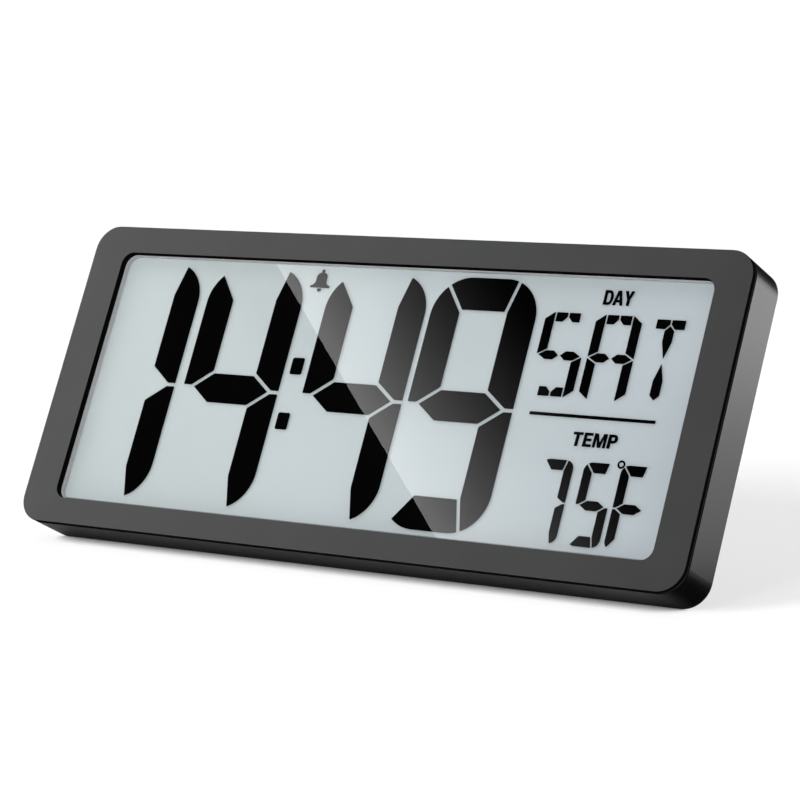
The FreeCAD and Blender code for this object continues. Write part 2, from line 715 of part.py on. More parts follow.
def clock_chip():
    """Moulded drop of resin over the bare chip."""
    radius = (CHIP_R ** 2 + CHIP_H ** 2) / (2 * CHIP_H)
    x = PCB_RIGHT - 50.0
    z = PCB_STRIP_TOP - 4.0
    ball = Part.makeSphere(radius, vec(x, PCB_BACK + CHIP_H - radius, z))
    above = block(x - radius, x + radius, PCB_BACK, PCB_BACK + 2 * CHIP_H, z - radius, z + radius)
    return ball.common(above)


def quartz_crystal():
    x = PCB_RIGHT - 74.0
    y = PCB_BACK + CRYSTAL_R
    z = PCB_ROW_Z - 2.0
    can = shaft(x, x + CRYSTAL_L, y, z, CRYSTAL_R)
    end = x + CRYSTAL_L
    leads = [shaft(end, end + CRYSTAL_LEAD, y, z + dz, 0.2) for dz in (-CRYSTAL_R / 2, CRYSTAL_R / 2)]
    return join([can] + leads)


def capacitors():
    spots = [PCB_RIGHT - 28.0 - CAPACITOR_PITCH * i for i in (0, 1)]
    return group([rod(x, PCB_ROW_Z - 6.0, CAPACITOR_R, PCB_BACK, PCB_BACK + CAPACITOR_H) for x in spots])


def tact_switches():
    bodies = []
    for x in BUTTON_XS:
        half = TACT_SIDE / 2
        base = block(x - half, x + half, PCB_BACK, PCB_BACK + TACT_H, BUTTON_Z - half, BUTTON_Z + half)
        well = rod(x, BUTTON_Z, PLUNGER_R + 0.1, PCB_BACK + 0.6, PCB_BACK + TACT_H + 1)
        bodies.append(base.cut(well))
    return group(bodies)


PLUNGER_BACK = PCB_BACK + TACT_H + 1.0


def plunger(x):
    return rod(x, BUTTON_Z, PLUNGER_R, PLUNGER_BACK - PLUNGER_H, PLUNGER_BACK)


def push_button(x):
    """Cap with a retaining flange inside the case and a stem that meets the switch."""
    flange_back = INNER_BACK - 0.1
    cap = rod(x, BUTTON_Z, BUTTON_R, flange_back, DEPTH + BUTTON_PROUD)
    rim = near_edges(cap, lambda b: b.YMin > DEPTH)
    cap = cap.makeFillet(0.5, rim)
    flange = rod(x, BUTTON_Z, BUTTON_FLANGE_R, flange_back - BUTTON_FLANGE_T, flange_back)
    stem = rod(x, BUTTON_Z, 1.4, PLUNGER_BACK, flange_back)
    return join([cap, flange, stem])


def slide_switch():
    body = block(KNOB_X - 6.0, KNOB_X + 10.0, PCB_BACK, PCB_BACK + SWITCH_H, KNOB_Z - 3.0, KNOB_Z + 3.0)
    slot = block(KNOB_X - 1.4, KNOB_X + KNOB_TRAVEL + 1.4, PCB_BACK + SWITCH_H - 1.4, PCB_BACK + SWITCH_H + 1,
                 KNOB_Z - 1.3, KNOB_Z + 1.3)
    return body.cut(slot)


def alarm_knob():
    flange_back = INNER_BACK - 0.2
    lever = block(KNOB_X - 1.0, KNOB_X + 1.0, PCB_BACK + SWITCH_H - 1.2, flange_back,
                  KNOB_Z - 1.0, KNOB_Z + 1.0)
    flange = slab(KNOB_W + 2 * KNOB_TRAVEL, KNOB_H + 3.0, 0.6, flange_back - 0.9, flange_back, KNOB_X, KNOB_Z)
    cap = slab(KNOB_W, KNOB_H, 0.6, flange_back, DEPTH + KNOB_PROUD, KNOB_X, KNOB_Z)
    grooves = []
    for i in (-1, 0, 1):
        x = KNOB_X + i * 1.3
        grooves.append(block(x - 0.3, x + 0.3, DEPTH + KNOB_PROUD - 0.4, DEPTH + 2, KNOB_Z - 3, KNOB_Z + 3))
    return join([lever, flange, cap]).cut(grooves)


def buzzer():
    can = rod(BUZZER_X, BUZZER_Z, BUZZER_R, PCB_BACK, PCB_BACK + BUZZER_H)
    return can.cut(rod(BUZZER_X, BUZZER_Z, 1.0, PCB_BACK + BUZZER_H - 1.5, PCB_BACK + BUZZER_H + 1))


def thermistor():
    bead = Part.makeSphere(BEAD_R, vec(BEAD_X, PCB_BACK + BEAD_UP, BEAD_Z))
    half = BEAD_R / 2
    legs = [rod(BEAD_X + dx, BEAD_Z, 0.25, PCB_BACK, PCB_BACK + BEAD_UP - 0.4) for dx in (-half, half)]
    return join([bead] + legs)


def board_screws():
    screws = []
    for x, z in PCB_SCREWS:
        shank = rod(x, z, SMALL_SCREW_R, PCB_Y - SMALL_SCREW_BITE + 1.2, PCB_BACK)
        head = rod(x, z, SMALL_HEAD_R, PCB_BACK, PCB_BACK + SMALL_HEAD_H)
        screws.append(join([shank, head]).cut(cross_recess(x, z, 1.2, PCB_BACK + SMALL_HEAD_H)))
    return group(screws)


def cross_recess(x, z, reach, back):
    long = block(x - reach, x + reach, back - 0.6, back + 1, z - 0.25, z + 0.25)
    tall = block(x - 0.25, x + 0.25, back - 0.6, back + 1, z - reach, z + reach)
    return [long, tall]


def holder_screws():
    screws = []
    for x, z in HOLDER_SCREWS:
        shank = rod(x, z, SMALL_SCREW_R, HOLDER_Y - SMALL_SCREW_BITE + 0.4, HOLDER_BACK)
        head = rod(x, z, SMALL_HEAD_R, HOLDER_BACK, HOLDER_BACK + SMALL_HEAD_H)
        screws.append(join([shank, head]).cut(cross_recess(x, z, 1.2, HOLDER_BACK + SMALL_HEAD_H)))
    return group(screws)


def case_screws():
    screws = []
    seat = SEAM_Y + SCREW_SEAT
    for x, z in CASE_SCREWS:
        shank = rod(x, z, SCREW_R, SEAM_Y - SCREW_BITE + 0.5, seat)
        head = rod(x, z, SCREW_HEAD_R, seat, seat + SCREW_HEAD_H)
        screws.append(join([shank, head]).cut(cross_recess(x, z, 1.8, seat + SCREW_HEAD_H)))
    return group(screws)


# Back of the case
def keyhole_cut(x):
    y0 = INNER_BACK - 1
    y1 = DEPTH + 1
    hole = rod(x, KEYHOLE_Z, KEYHOLE_R, y0, y1)
    end = rod(x, KEYHOLE_Z + KEYHOLE_SLOT_L, KEYHOLE_SLOT_R, y0, y1)
    slot = block(x - KEYHOLE_SLOT_R, x + KEYHOLE_SLOT_R, y0, y1, KEYHOLE_Z, KEYHOLE_Z + KEYHOLE_SLOT_L)
    return [hole, end, slot]


def recess_size(extra):
    return STAND_W + 2 * FIT + 2 * extra


RECESS_TOP = STAND_AXIS_Z + STAND_BARREL_R + 1.2
RECESS_BOTTOM = 2.6 - HEIGHT / 2


def stand_pocket(extra, y0, y1):
    half = recess_size(extra) / 2
    return block(-half, half, y0, y1, RECESS_BOTTOM - extra, RECESS_TOP + extra)


def vent_cuts():
    """Sound holes over the buzzer, and three slots for the air at the temperature sensor."""
    cuts = [rod(BUZZER_X, BUZZER_Z, SOUND_HOLE_R, INNER_BACK - 1, DEPTH + 1)]
    for i in range(6):
        a = math.radians(60 * i)
        x = BUZZER_X + SOUND_RING_R * math.cos(a)
        z = BUZZER_Z + SOUND_RING_R * math.sin(a)
        cuts.append(rod(x, z, SOUND_HOLE_R, INNER_BACK - 1, DEPTH + 1))
    for i in (-1, 0, 1):
        x = BEAD_X + AIR_SLOT_PITCH * i
        cuts.append(slab(AIR_SLOT_W, AIR_SLOT_H, 0.6, INNER_BACK - 1, DEPTH + 1, x, BEAD_Z + 2.0))
    return cuts


def door_pivots(radius, reach):
    left = BAY_X - DOOR_W / 2
    right = BAY_X + DOOR_W / 2
    a = shaft(left - reach, left, DOOR_AXIS_Y, DOOR_AXIS_Z, radius)
    b = shaft(right, right + reach, DOOR_AXIS_Y, DOOR_AXIS_Z, radius)
    return [a, b]


def contact_slots():
    """Slots in the bay's outer end wall for the two solder tabs."""
    x0 = BAY_X - BAY_L / 2 - BAY_WALL
    half = TAB_W / 2 + 0.4
    return [block(x0 - 1, x0 + BAY_WALL + 1, TAB_Y - half, TAB_Y + half, z - 0.5, z + 0.5) for z in CELL_ZS]


def rear_housing():
    shell = slab(WIDTH, HEIGHT, CORNER_R, HOUSING_FRONT, DEPTH)
    rim = near_edges(shell, lambda b: b.YMin > DEPTH - 0.01)
    shell = shell.makeFillet(REAR_EDGE_R, rim)
    hollow = slab(WIDTH - 2 * WALL, HEIGHT - 2 * WALL, CORNER_R - WALL, HOUSING_FRONT - 1, INNER_BACK)
    shell = shell.cut(hollow)
    adds = [bay_gap(0, HOLDER_Y + 0.4, INNER_BACK)]
    adds.append(stand_pocket(POCKET_T, RECESS_FLOOR - POCKET_T, INNER_BACK))
    half = recess_size(0) / 2
    for side in (-1, 1):
        x0 = side * half
        x1 = side * (half + STAND_PIN_SEAT + POCKET_T)
        adds.append(block(min(x0, x1), max(x0, x1), RECESS_FLOOR - POCKET_T, INNER_BACK,
                          STAND_AXIS_Z - 4.0, STAND_AXIS_Z + 4.0))
    for side in (-1, 1):
        edge = BAY_X + side * DOOR_W / 2
        x0 = min(edge, edge + side * (DOOR_PIN_L + 2.0))
        adds.append(block(x0, x0 + DOOR_PIN_L + 2.0, DOOR_AXIS_Y - 2.4, INNER_BACK + 0.5,
                          DOOR_AXIS_Z - 2.6, DOOR_AXIS_Z + 2.6))
    adds += [rod(x, z, BOSS_R, SEAM_Y, INNER_BACK + 0.5) for x, z in CASE_SCREWS]
    adds += keyhole_rims()
    shell = join([shell] + adds)
    bay_hole = slab(BAY_L, BAY_H, 1.0, BAY_FLOOR_Y, DEPTH + 1, BAY_X, BAY_Z)
    door_hole = slab(DOOR_W + 2 * FIT, DOOR_H + 2 * FIT, 1.5, DOOR_FRONT, DEPTH + 1, BAY_X, BAY_Z)
    barrel = shaft(BAY_X - DOOR_W / 2 - FIT, BAY_X + DOOR_W / 2 + FIT, DOOR_AXIS_Y, DOOR_AXIS_Z,
                   DOOR_BARREL_R + FIT)
    grip = rod(BAY_X, BAY_Z + DOOR_H / 2, 7.0, DEPTH - 1.2, DEPTH + 1)
    cuts = [bay_hole, door_hole, barrel, grip]
    cuts += door_pivots(DOOR_PIN_R + RUNNING, DOOR_PIN_L + 0.3)
    cuts.append(stand_pocket(0, RECESS_FLOOR, DEPTH + 1))
    pin_half = recess_size(0) / 2 + STAND_PIN_SEAT + 0.2
    cuts.append(shaft(-pin_half, pin_half, STAND_AXIS_Y, STAND_AXIS_Z, STAND_PIN_R + RUNNING))
    cuts.append(rod(0, RECESS_BOTTOM + 4.0, 9.0, DEPTH - 2.4, DEPTH + 1).common(
        block(-12, 12, 0, DEPTH + 2, RECESS_BOTTOM - 1.0, RECESS_BOTTOM + 20)))
    for x in BUTTON_XS:
        cuts.append(rod(x, BUTTON_Z, BUTTON_R + FIT, INNER_BACK - 1, DEPTH + 1))
    slot_w = KNOB_W + KNOB_TRAVEL + 2 * FIT
    cuts.append(slab(slot_w, KNOB_H + 2 * FIT, 0.9, INNER_BACK - 1, DEPTH + 1,
                     KNOB_X + KNOB_TRAVEL / 2, KNOB_Z))
    for x in (-KEYHOLE_X, KEYHOLE_X):
        cuts += keyhole_cut(x)
    for x, z in CASE_SCREWS:
        cuts.append(rod(x, z, SCREW_HEAD_R + FIT, SEAM_Y + SCREW_SEAT, DEPTH + 1))
        cuts.append(rod(x, z, SCREW_R + 0.2, SEAM_Y - 1, SEAM_Y + SCREW_SEAT + 1))
    cuts += vent_cuts() + contact_slots()
    return shell.cut(cuts)


def keyhole_rims():
    """Thick rims round the keyholes, so that a screw head bears on more than the wall."""
    rims = []
    for x in (-KEYHOLE_X, KEYHOLE_X):
        h = KEYHOLE_SLOT_L + 2 * KEYHOLE_R + 4.0
        rims.append(slab(2 * KEYHOLE_R + 5.0, h, 3.0, INNER_BACK - KEYHOLE_RIM, INNER_BACK + 0.5, x,
                         KEYHOLE_Z + KEYHOLE_SLOT_L / 2 - 0.6))
    return rims


# Batteries and their contacts
def battery_cells():
    cells = []
    for i, z in enumerate(CELL_ZS):
        x0 = BAY_X - CELL_L / 2
        can = shaft(x0 + NUB_L, x0 + CELL_L, CELL_AXIS_Y, z, CELL_D / 2)
        nub = shaft(x0, x0 + NUB_L, CELL_AXIS_Y, z, NUB_R)
        cell = join([can, nub])
        if i:
            cell = cell.mirror(vec(BAY_X, 0, 0), vec(1, 0, 0))
        cells.append(cell)
    return group(cells)


def battery_contacts():
    """Plates at both ends of the bay with a raised leaf, and tabs for the leads."""
    plates = []
    half = CONTACT_SIDE / 2
    y = CELL_AXIS_Y
    for side in (-1, 1):
        wall = BAY_X + side * BAY_L / 2
        face = wall - side * CONTACT_T
        x0 = min(wall, face)
        tip = BAY_X + side * (CELL_L / 2 + 0.1)
        bars_ = []
        for z in CELL_ZS:
            plate = block(x0, x0 + CONTACT_T, y - half, y + half, z - half, z + half)
            ramp = [(face, -LEAF_FOOT), (tip, -LEAF_TIP), (tip, LEAF_TIP), (face, LEAF_FOOT)]
            leaf = polygon([(x, z + dz) for x, dz in ramp], y - LEAF_W / 2, y + LEAF_W / 2)
            bars_.append(join([plate, leaf]))
        if side > 0:
            bridge = block(x0, x0 + CONTACT_T, y - 1.5, y + 1.5, CELL_ZS[0], CELL_ZS[1])
            plates.append(join(bars_ + [bridge]))
        else:
            for bar_, z in zip(bars_, CELL_ZS):
                reach = wall - BAY_WALL - TAB_LEFT
                tab = block(reach, wall, TAB_Y - TAB_W / 2, TAB_Y + TAB_W / 2,
                            z - CONTACT_T / 2, z + CONTACT_T / 2)
                plates.append(join([bar_, tab]))
    return group(plates)


def battery_leads():
    """Two insulated leads from the solder tabs down to the board."""
    leads = []
    x_tab = BAY_X - BAY_L / 2 - BAY_WALL - TAB_LEFT + LEAD_R
    y = TAB_Y + TAB_W / 2 + LEAD_R
    for i, z in enumerate(CELL_ZS):
        x = x_tab - LEAD_STEP * (2 - i)
        drop = PCB_STRIP_TOP - 4.0 - 4.0 * i
        points = [(x_tab, y, z), (x, y, z - 4.0), (x, y, drop), (x + LEAD_RUN, PCB_BACK + LEAD_R, drop - 6.0)]
        leads.append(tube(points, LEAD_R, [2.0, 3.0]))
    return group(leads)


def battery_door():
    plate = slab(DOOR_W, DOOR_H, 1.2, DOOR_FRONT, DEPTH - DOOR_SINK, BAY_X, BAY_Z)
    foot = block(BAY_X - DOOR_W, BAY_X + DOOR_W, DOOR_FRONT - 1, DEPTH, BAY_Z - DOOR_H, DOOR_AXIS_Z)
    plate = plate.cut(foot)
    barrel = shaft(BAY_X - DOOR_W / 2, BAY_X + DOOR_W / 2, DOOR_AXIS_Y, DOOR_AXIS_Z, DOOR_BARREL_R)
    top = BAY_Z + BAY_H / 2 - LATCH_CLEAR
    latch = block(BAY_X - LATCH_W / 2, BAY_X + LATCH_W / 2, DOOR_FRONT - LATCH_L, DOOR_FRONT,
                  top - LATCH_T, top)
    pad_front = CELL_AXIS_Y + CELL_D / 2 + PAD_GAP
    pads = []
    for side in (-1, 1):
        x = BAY_X + side * DOOR_W / 4
        pads.append(block(x - PAD_W / 2, x + PAD_W / 2, pad_front, DOOR_FRONT, CELL_ZS[0], CELL_ZS[1]))
    grooves = []
    for i in range(5):
        z = BAY_Z + DOOR_H / 2 - 3.4 - 1.4 * i
        grooves.append(block(BAY_X - 5.0, BAY_X + 5.0, DEPTH - DOOR_SINK - 0.4, DEPTH + 1, z - 0.3, z + 0.3))
    whole = join([plate, barrel, latch] + pads + door_pivots(DOOR_PIN_R, DOOR_PIN_L))
    return whole.cut(grooves)


# Folding stand, built folded flat and then swung open
def leg_length():
    """Distance from the hinge axis to the centre of the rubber foot."""
    lean = math.radians(LEAN)
    height = (STAND_AXIS_Z + HEIGHT / 2) * math.cos(lean) + (DEPTH - STAND_AXIS_Y) * math.sin(lean)
    round_off = REAR_EDGE_R * (math.cos(lean) + math.sin(lean) - 1)
    return (height - round_off - FOOT_R) / math.cos(math.radians(STAND_OPEN - LEAN))


def swing_open(shape):
    shape = shape.copy()
    shape.rotate(vec(0, STAND_AXIS_Y, STAND_AXIS_Z), vec(1, 0, 0), STAND_OPEN)
    return shape


def foot_axis():
    return STAND_AXIS_Z - leg_length()


def stand():
    y0 = STAND_AXIS_Y - STAND_T / 2
    y1 = STAND_AXIS_Y + STAND_T / 2
    bottom = foot_axis() - 0.4
    height = STAND_AXIS_Z - bottom
    plate = slab(STAND_W, height + 6.0, 5.0, y0, y1, 0, bottom + (height + 6.0) / 2)
    plate = plate.cut(block(-STAND_W, STAND_W, y0 - 1, y1 + 1, STAND_AXIS_Z, STAND_AXIS_Z + 20))
    barrel = shaft(-STAND_W / 2, STAND_W / 2, STAND_AXIS_Y, STAND_AXIS_Z, STAND_BARREL_R)
    open_a = math.radians(STAND_OPEN)
    room = STAND_AXIS_Y - RECESS_FLOOR - STOP_GAP
    heel_t = 1.0
    heel_l = (room - heel_t * math.cos(open_a)) / math.sin(open_a)
    heel = block(-STAND_W / 4, STAND_W / 4, STAND_AXIS_Y - heel_t, STAND_AXIS_Y + heel_t,
                 STAND_AXIS_Z, STAND_AXIS_Z + heel_l)
    body = join([plate, barrel, heel])
    hollow = slab(STAND_W - 8.0, height - 22.0, 3.0, y0 - 1, y0 + STAND_T - 1.4,
                  0, bottom + 12.0 + (height - 22.0) / 2)
    ribs = []
    for i in (-1, 0, 1):
        x = i * STAND_W / 5
        ribs.append(block(x - 0.7, x + 0.7, y0 + 0.2, y0 + STAND_T - 1.4, bottom + 11.0, STAND_AXIS_Z - 9.0))
    body = join([body.cut(hollow)] + ribs)
    bore = shaft(-STAND_W, STAND_W, STAND_AXIS_Y, STAND_AXIS_Z, STAND_PIN_R)
    groove = shaft(-FOOT_W / 2, FOOT_W / 2, STAND_AXIS_Y, foot_axis(), FOOT_R - 1.0)
    slot = block(-FOOT_W / 2, FOOT_W / 2, y0 - 1, y1 + 1, bottom - 4, foot_axis())
    return swing_open(body.cut([bore, groove, slot]))


def stand_pin():
    half = recess_size(0) / 2 + STAND_PIN_SEAT
    return swing_open(shaft(-half, half, STAND_AXIS_Y, STAND_AXIS_Z, STAND_PIN_R))


def stand_foot():
    """Rubber bead along the lower edge of the stand, flat where the stand would stick out."""
    bead = shaft(-FOOT_W / 2 + 0.1, FOOT_W / 2 - 0.1, STAND_AXIS_Y, foot_axis(), FOOT_R)
    keep = shaft(-FOOT_W / 2, FOOT_W / 2, STAND_AXIS_Y, foot_axis(), FOOT_R - 1.0)
    upper = block(-FOOT_W, FOOT_W, 0, DEPTH + 9, foot_axis(), foot_axis() + 20)
    trim = block(-FOOT_W, FOOT_W, STAND_AXIS_Y + STAND_T / 2, DEPTH + 9, foot_axis() - 20, foot_axis() + 20)
    lower = bead.cut([upper])
    tongue = keep.common(bead)
    return swing_open(join([lower, tongue]).cut(trim))


def build():
    nodes = {
        "front_bezel": front_bezel(),
        "lens_tape": lens_tape(),
        "front_lens": front_lens(),
        "display_frame": display_frame(),
        "lcd_front_glass": lcd_front_glass(),
        "lcd_seal": lcd_seal(),
        "hour_digits": hour_digits(),
        "minute_digits": minute_digits(),
        "colon_dots": colon_dots(),
        "alarm_bell": alarm_bell(),
        "rule_line": rule_line(),
        "day_letters": day_letters(),
        "temperature_digits": temperature_digits(),
        "degree_ring": degree_ring(),
        "lcd_rear_glass": lcd_rear_glass(),
        "lcd_reflector": lcd_reflector(),
        "lcd_holder": lcd_holder(),
        "zebra_strips": zebra_strips(),
        "main_board": main_board(),
        "clock_chip": clock_chip(),
        "quartz_crystal": quartz_crystal(),
        "capacitors": capacitors(),
        "tact_switches": tact_switches(),
        "slide_switch": slide_switch(),
        "buzzer": buzzer(),
        "thermistor": thermistor(),
        "board_screws": board_screws(),
        "holder_screws": holder_screws(),
        "case_screws": case_screws(),
        "rear_housing": rear_housing(),
        "battery_cells": battery_cells(),
        "battery_contacts": battery_contacts(),
        "battery_leads": battery_leads(),
        "battery_door": battery_door(),
        "alarm_knob": alarm_knob(),
        "stand": stand(),
        "stand_pin": stand_pin(),
        "stand_foot": stand_foot(),
    }
    for name, x in zip(BUTTON_NAMES, BUTTON_XS):
        nodes[name + "_button"] = push_button(x)
        nodes[name + "_plunger"] = plunger(x)
    return nodes


def footprint(nodes):
    """Middle of the footprint and lowest point of the leaned clock."""
    box = group([shape for shape in nodes.values()]).optimalBoundingBox(False, False)
    return vec((box.XMin + box.XMax) / 2, (box.YMin + box.YMax) / 2, box.ZMin)


upright = build()
leaned = {}
for name, shape in upright.items():
    turned = shape.copy()
    turned.rotate(vec(0, 0, 0), vec(1, 0, 0), -LEAN)
    leaned[name] = turned
ORIGIN = footprint(leaned)
os.makedirs("parts", exist_ok=True)
for name, shape in leaned.items():
    shape.translate(ORIGIN * -1)
    shape.exportStep("parts/" + name + ".step")
    print(name, len(shape.Solids), round(shape.Volume, 1), shape.isValid())
print("origin", tuple(round(v, 4) for v in ORIGIN))
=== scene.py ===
import bpy
import math
from mathutils import Matrix, Vector


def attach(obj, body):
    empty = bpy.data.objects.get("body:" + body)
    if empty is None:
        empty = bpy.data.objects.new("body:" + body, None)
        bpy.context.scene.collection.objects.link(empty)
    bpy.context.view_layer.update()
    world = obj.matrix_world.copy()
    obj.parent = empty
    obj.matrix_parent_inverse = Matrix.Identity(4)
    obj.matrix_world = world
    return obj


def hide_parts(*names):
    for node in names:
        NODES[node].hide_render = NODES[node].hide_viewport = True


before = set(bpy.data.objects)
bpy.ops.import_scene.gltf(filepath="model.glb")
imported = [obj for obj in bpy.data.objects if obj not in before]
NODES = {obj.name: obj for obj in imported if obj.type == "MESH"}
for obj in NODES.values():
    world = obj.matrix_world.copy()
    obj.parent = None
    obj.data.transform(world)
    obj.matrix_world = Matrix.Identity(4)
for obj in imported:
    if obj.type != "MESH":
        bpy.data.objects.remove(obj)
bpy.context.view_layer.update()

# The clock is described upright, as its front is drawn: X to the right, Z up the face, Y from the
# front to the back, in millimetres. It leans back about X, and its footprint's middle is the origin.
LEAN = math.radians(25.7)
SHIFT = Vector((0.0, 0.0114269, -0.0788454))
MM = 0.001
WIDTH = 360.0
HEIGHT = 151.0
DEPTH = 25.4
CORNER_R = 12.0
WINDOW_X = 162.6
WINDOW_Z = 62.7
WINDOW_R = 6.0
BEZEL_BACK = 2.22
LENS_Y = 5.0
FRONT_GLASS_Y = 8.1
CELL_Y = 9.0
CELL_T = 0.1
REFLECTOR_Y = 10.0
GLASS_W = 330.8
GLASS_H = 131.0
GLASS_R = 0.8
GLASS_EDGE = 0.12
LEDGE = 4.0
HAIR = 0.03
BUTTON_XS = [64.0, 81.0, 98.0, 115.0, 132.0]
BUTTON_Z = 14.0
KNOB_X = 66.0
KNOB_Z = -10.0
BAY_X = -95.0
PRINT_ROOT = DEPTH - 0.1
PRINT_FACE = DEPTH + HAIR
LABEL_HALF = 1.28
LABEL_LOW = 7.6
LABEL_HIGH = 10.4
UPRIGHT = Matrix.Translation(-SHIFT) @ Matrix.Rotation(-LEAN, 4, "X") @ Matrix.Scale(MM, 4)

# Places on the bezel and the housing where one finish gives way to the next, and where painted shade
# begins on the bezel and painted light on the housing's back
WALL_SKIN = 0.06
RIM_SKIN = 0.4
RIM_DEPTH = 0.12
BACK_FROM = 0.7
BACK_TO = 0.3
LENS_SKIN = 0.05
SLEEVE_END = 21.2
SLEEVE_BAND = 12.0

# Colours and relief
WHITE = (1.0, 1.0, 1.0)
# The bezel face is painted darker from left to right: painted shade where the light falls off
BEZEL_LIT_LEFT = (0.094, 0.094, 0.095)
BEZEL_SHADED_RIGHT = (0.053, 0.053, 0.0535)
# Painted shade on the bezel's window wall, on the outer part of its rounded rim and in the gap behind
# it
BEZEL_PAINTED_SHADE = (0.004, 0.004, 0.004)
# The housing's sides are painted darker than its back: painted shade on the sides, painted light on the
# back
HOUSING_SIDE_SHADED = (0.004, 0.004, 0.0042)
HOUSING_BACK_LIT = (0.032, 0.032, 0.0325)
LENS_TINT = (0.985, 0.99, 0.99)
CELL_TINT = (0.968, 0.984, 0.986)
# The display film is painted darker and cooler towards the right: painted shade
REFLECTOR_LIT_LEFT = (0.80, 0.82, 0.81)
REFLECTOR_SHADED_RIGHT = (0.640, 0.656, 0.684)
MASK_GREEN = (0.010, 0.105, 0.035)
TRACK_GREEN = (0.020, 0.185, 0.060)
SLEEVE_DARK = (0.015, 0.016, 0.018)
SLEEVE_GOLD = (0.42, 0.28, 0.10)
CELL_STEEL = (0.60, 0.60, 0.60)
ACRYLIC_IOR = 1.49
GRAIN_DEPTH = 0.00001
NOISE_LOW = 0.3
NOISE_HIGH = 0.7

# Floor and world. CONTACT_REACH is how far the painted contact shadow spreads, in metres.
FLOOR_SPAN = 30.0
FLOOR_BOUNCE = 0.555
FLOOR_PALE = 0.30
FLOOR_LIFT = 0.68
CONTACT_REACH = 0.017
# PATCH_LIGHT and POOL_LIGHT: the glow of painted reflections that only mirror-like rays see
PATCH_LIGHT = 0.02
POOL_LIGHT = 1.5
SKY_TINT = (0.97, 0.985, 1.0)
SKY_LIGHT = 0.45
SKY_SEEN = 1.05
SKY_MIRRORED = 0.02

# Card that the window mirrors, in the clock's upright millimetres: two points of its lower edge
CARD_Y = -1005.3
CARD_HIGH = Vector((-892.5, CARD_Y, 445.0))
CARD_LOW = Vector((-639.5, CARD_Y, 198.0))
CARD_OVERRUN = 400.0
CARD_REACH = 200.0
CARD_LIGHT = 3.4
CARD_FALL = 2.65

# Camera, fitted to the photograph about the front's middle
EYE = Vector((0.746479, -1.045070, 0.146677))
RIGHT = Vector((0.821146, 0.570708, -0.003544))
AHEAD = Vector((-0.567197, 0.815374, -0.115986))
SENSOR_MM = 36.0
LENS_MM = 130.0


def place(x, y, z):
    """Point of the leaned clock, in metres."""
    return UPRIGHT @ Vector((x, y, z))


# Node trees
class Tree:
    """A material's nodes, made by short calls."""

    def __init__(self, name):
        self.material = bpy.data.materials.new(name)
        self.material.use_nodes = True
        self.nodes = self.material.node_tree.nodes
        self.links = self.material.node_tree.links
        self.nodes.clear()
        self.out = self.nodes.new("ShaderNodeOutputMaterial")

    def set(self, socket, value):
        if isinstance(value, bpy.types.NodeSocket):
            self.links.new(value, socket)
        elif socket.type == "RGBA":
            socket.default_value = (*value[:3], 1.0)
        else:
            socket.default_value = value

    def node(self, kind, output=0, settings=None, **inputs):
        """One output of a new node. Inputs go by name, or by number as i0, i1 and so on."""
        made = self.nodes.new(kind)
        for key, value in (settings or {}).items():
            setattr(made, key, value)
        for key, value in inputs.items():
            number = key[1:]
            name = int(number) if number.isdigit() else key.replace("_", " ")
            self.set(made.inputs[name], value)
        return made.outputs[output]

    def math(self, operation, a, b=0.0):
        return self.node("ShaderNodeMath", settings={"operation": operation}, i0=a, i1=b)

    def vector(self, operation, a, b):
        return self.node("ShaderNodeVectorMath", settings={"operation": operation}, i0=a, i1=b)

    def scaled(self, value, factor):
        """A colour or a place times one number."""
        return self.node("ShaderNodeVectorMath", settings={"operation": "SCALE"},
                         i0=value, i3=factor)

    def local(self):
        """Upright place on the clock, in millimetres."""
        spot = self.node("ShaderNodeTexCoord", output="Object")
        moved = self.vector("ADD", spot, tuple(SHIFT))
        turned = self.node("ShaderNodeVectorRotate", settings={"rotation_type": "X_AXIS"},
                           Vector=moved, Angle=LEAN)
        return self.scaled(turned, 1 / MM)

    def axes(self, spot):
        apart = self.nodes.new("ShaderNodeSeparateXYZ")
        self.links.new(spot, apart.inputs[0])
        return apart.outputs[0], apart.outputs[1], apart.outputs[2]

    def noise(self, spot, scale, detail=2.0, rough=0.5):
        return self.node("ShaderNodeTexNoise",
                         Vector=spot, Scale=scale, Detail=detail, Roughness=rough)

    def remap(self, value, low, high, to_low, to_high):
        return self.node("ShaderNodeMapRange", Value=value, i1=low, i2=high, i3=to_low, i4=to_high)

    def spread(self, noise, low, high):
        """Noise that runs from low to high."""
        return self.remap(noise, NOISE_LOW, NOISE_HIGH, low, high)

    def mix(self, factor, a, b):
        made = self.nodes.new("ShaderNodeMix")
        made.data_type = "RGBA"
        self.set(made.inputs[0], factor)
        self.set(made.inputs[6], a)
        self.set(made.inputs[7], b)
        return made.outputs[2]

    def bump(self, height, strength, distance):
        return self.node("ShaderNodeBump", Height=height, Strength=strength, Distance=distance)

    def glow(self, strength):
        return self.node("ShaderNodeEmission", Color=WHITE, Strength=strength)

    def blend(self, factor, a, b):
        return self.node("ShaderNodeMixShader", i0=factor, i1=a, i2=b)

    def show(self, shader):
        self.links.new(shader, self.out.inputs[0])
        return self.material

    def principled(self, **inputs):
        return self.show(self.node("ShaderNodeBsdfPrincipled", **inputs))


def clouded(tree, spot, colour, mottle=0.05, scale=0.03):
    """The colour with faint large clouds in it."""
    cloud = tree.noise(spot, scale, 3.0, 0.55)
    return tree.scaled(colour, tree.spread(cloud, 1 - mottle, 1 + mottle))


def plastic(name, colour, rough, grain=1.6, depth=GRAIN_DEPTH, specular=0.5, spread=0.05):
    """Moulded plastic or rubber: fine grain in relief and gloss, faint clouds in the colour."""
    t = Tree(name)
    spot = t.local()
    fine = t.noise(spot, grain, 3.0, 0.6)
    return t.principled(Base_Color=clouded(t, spot, colour),
                        Roughness=t.spread(fine, rough - spread, rough + spread),
                        Specular_IOR_Level=specular, Normal=t.bump(fine, 0.4, depth))


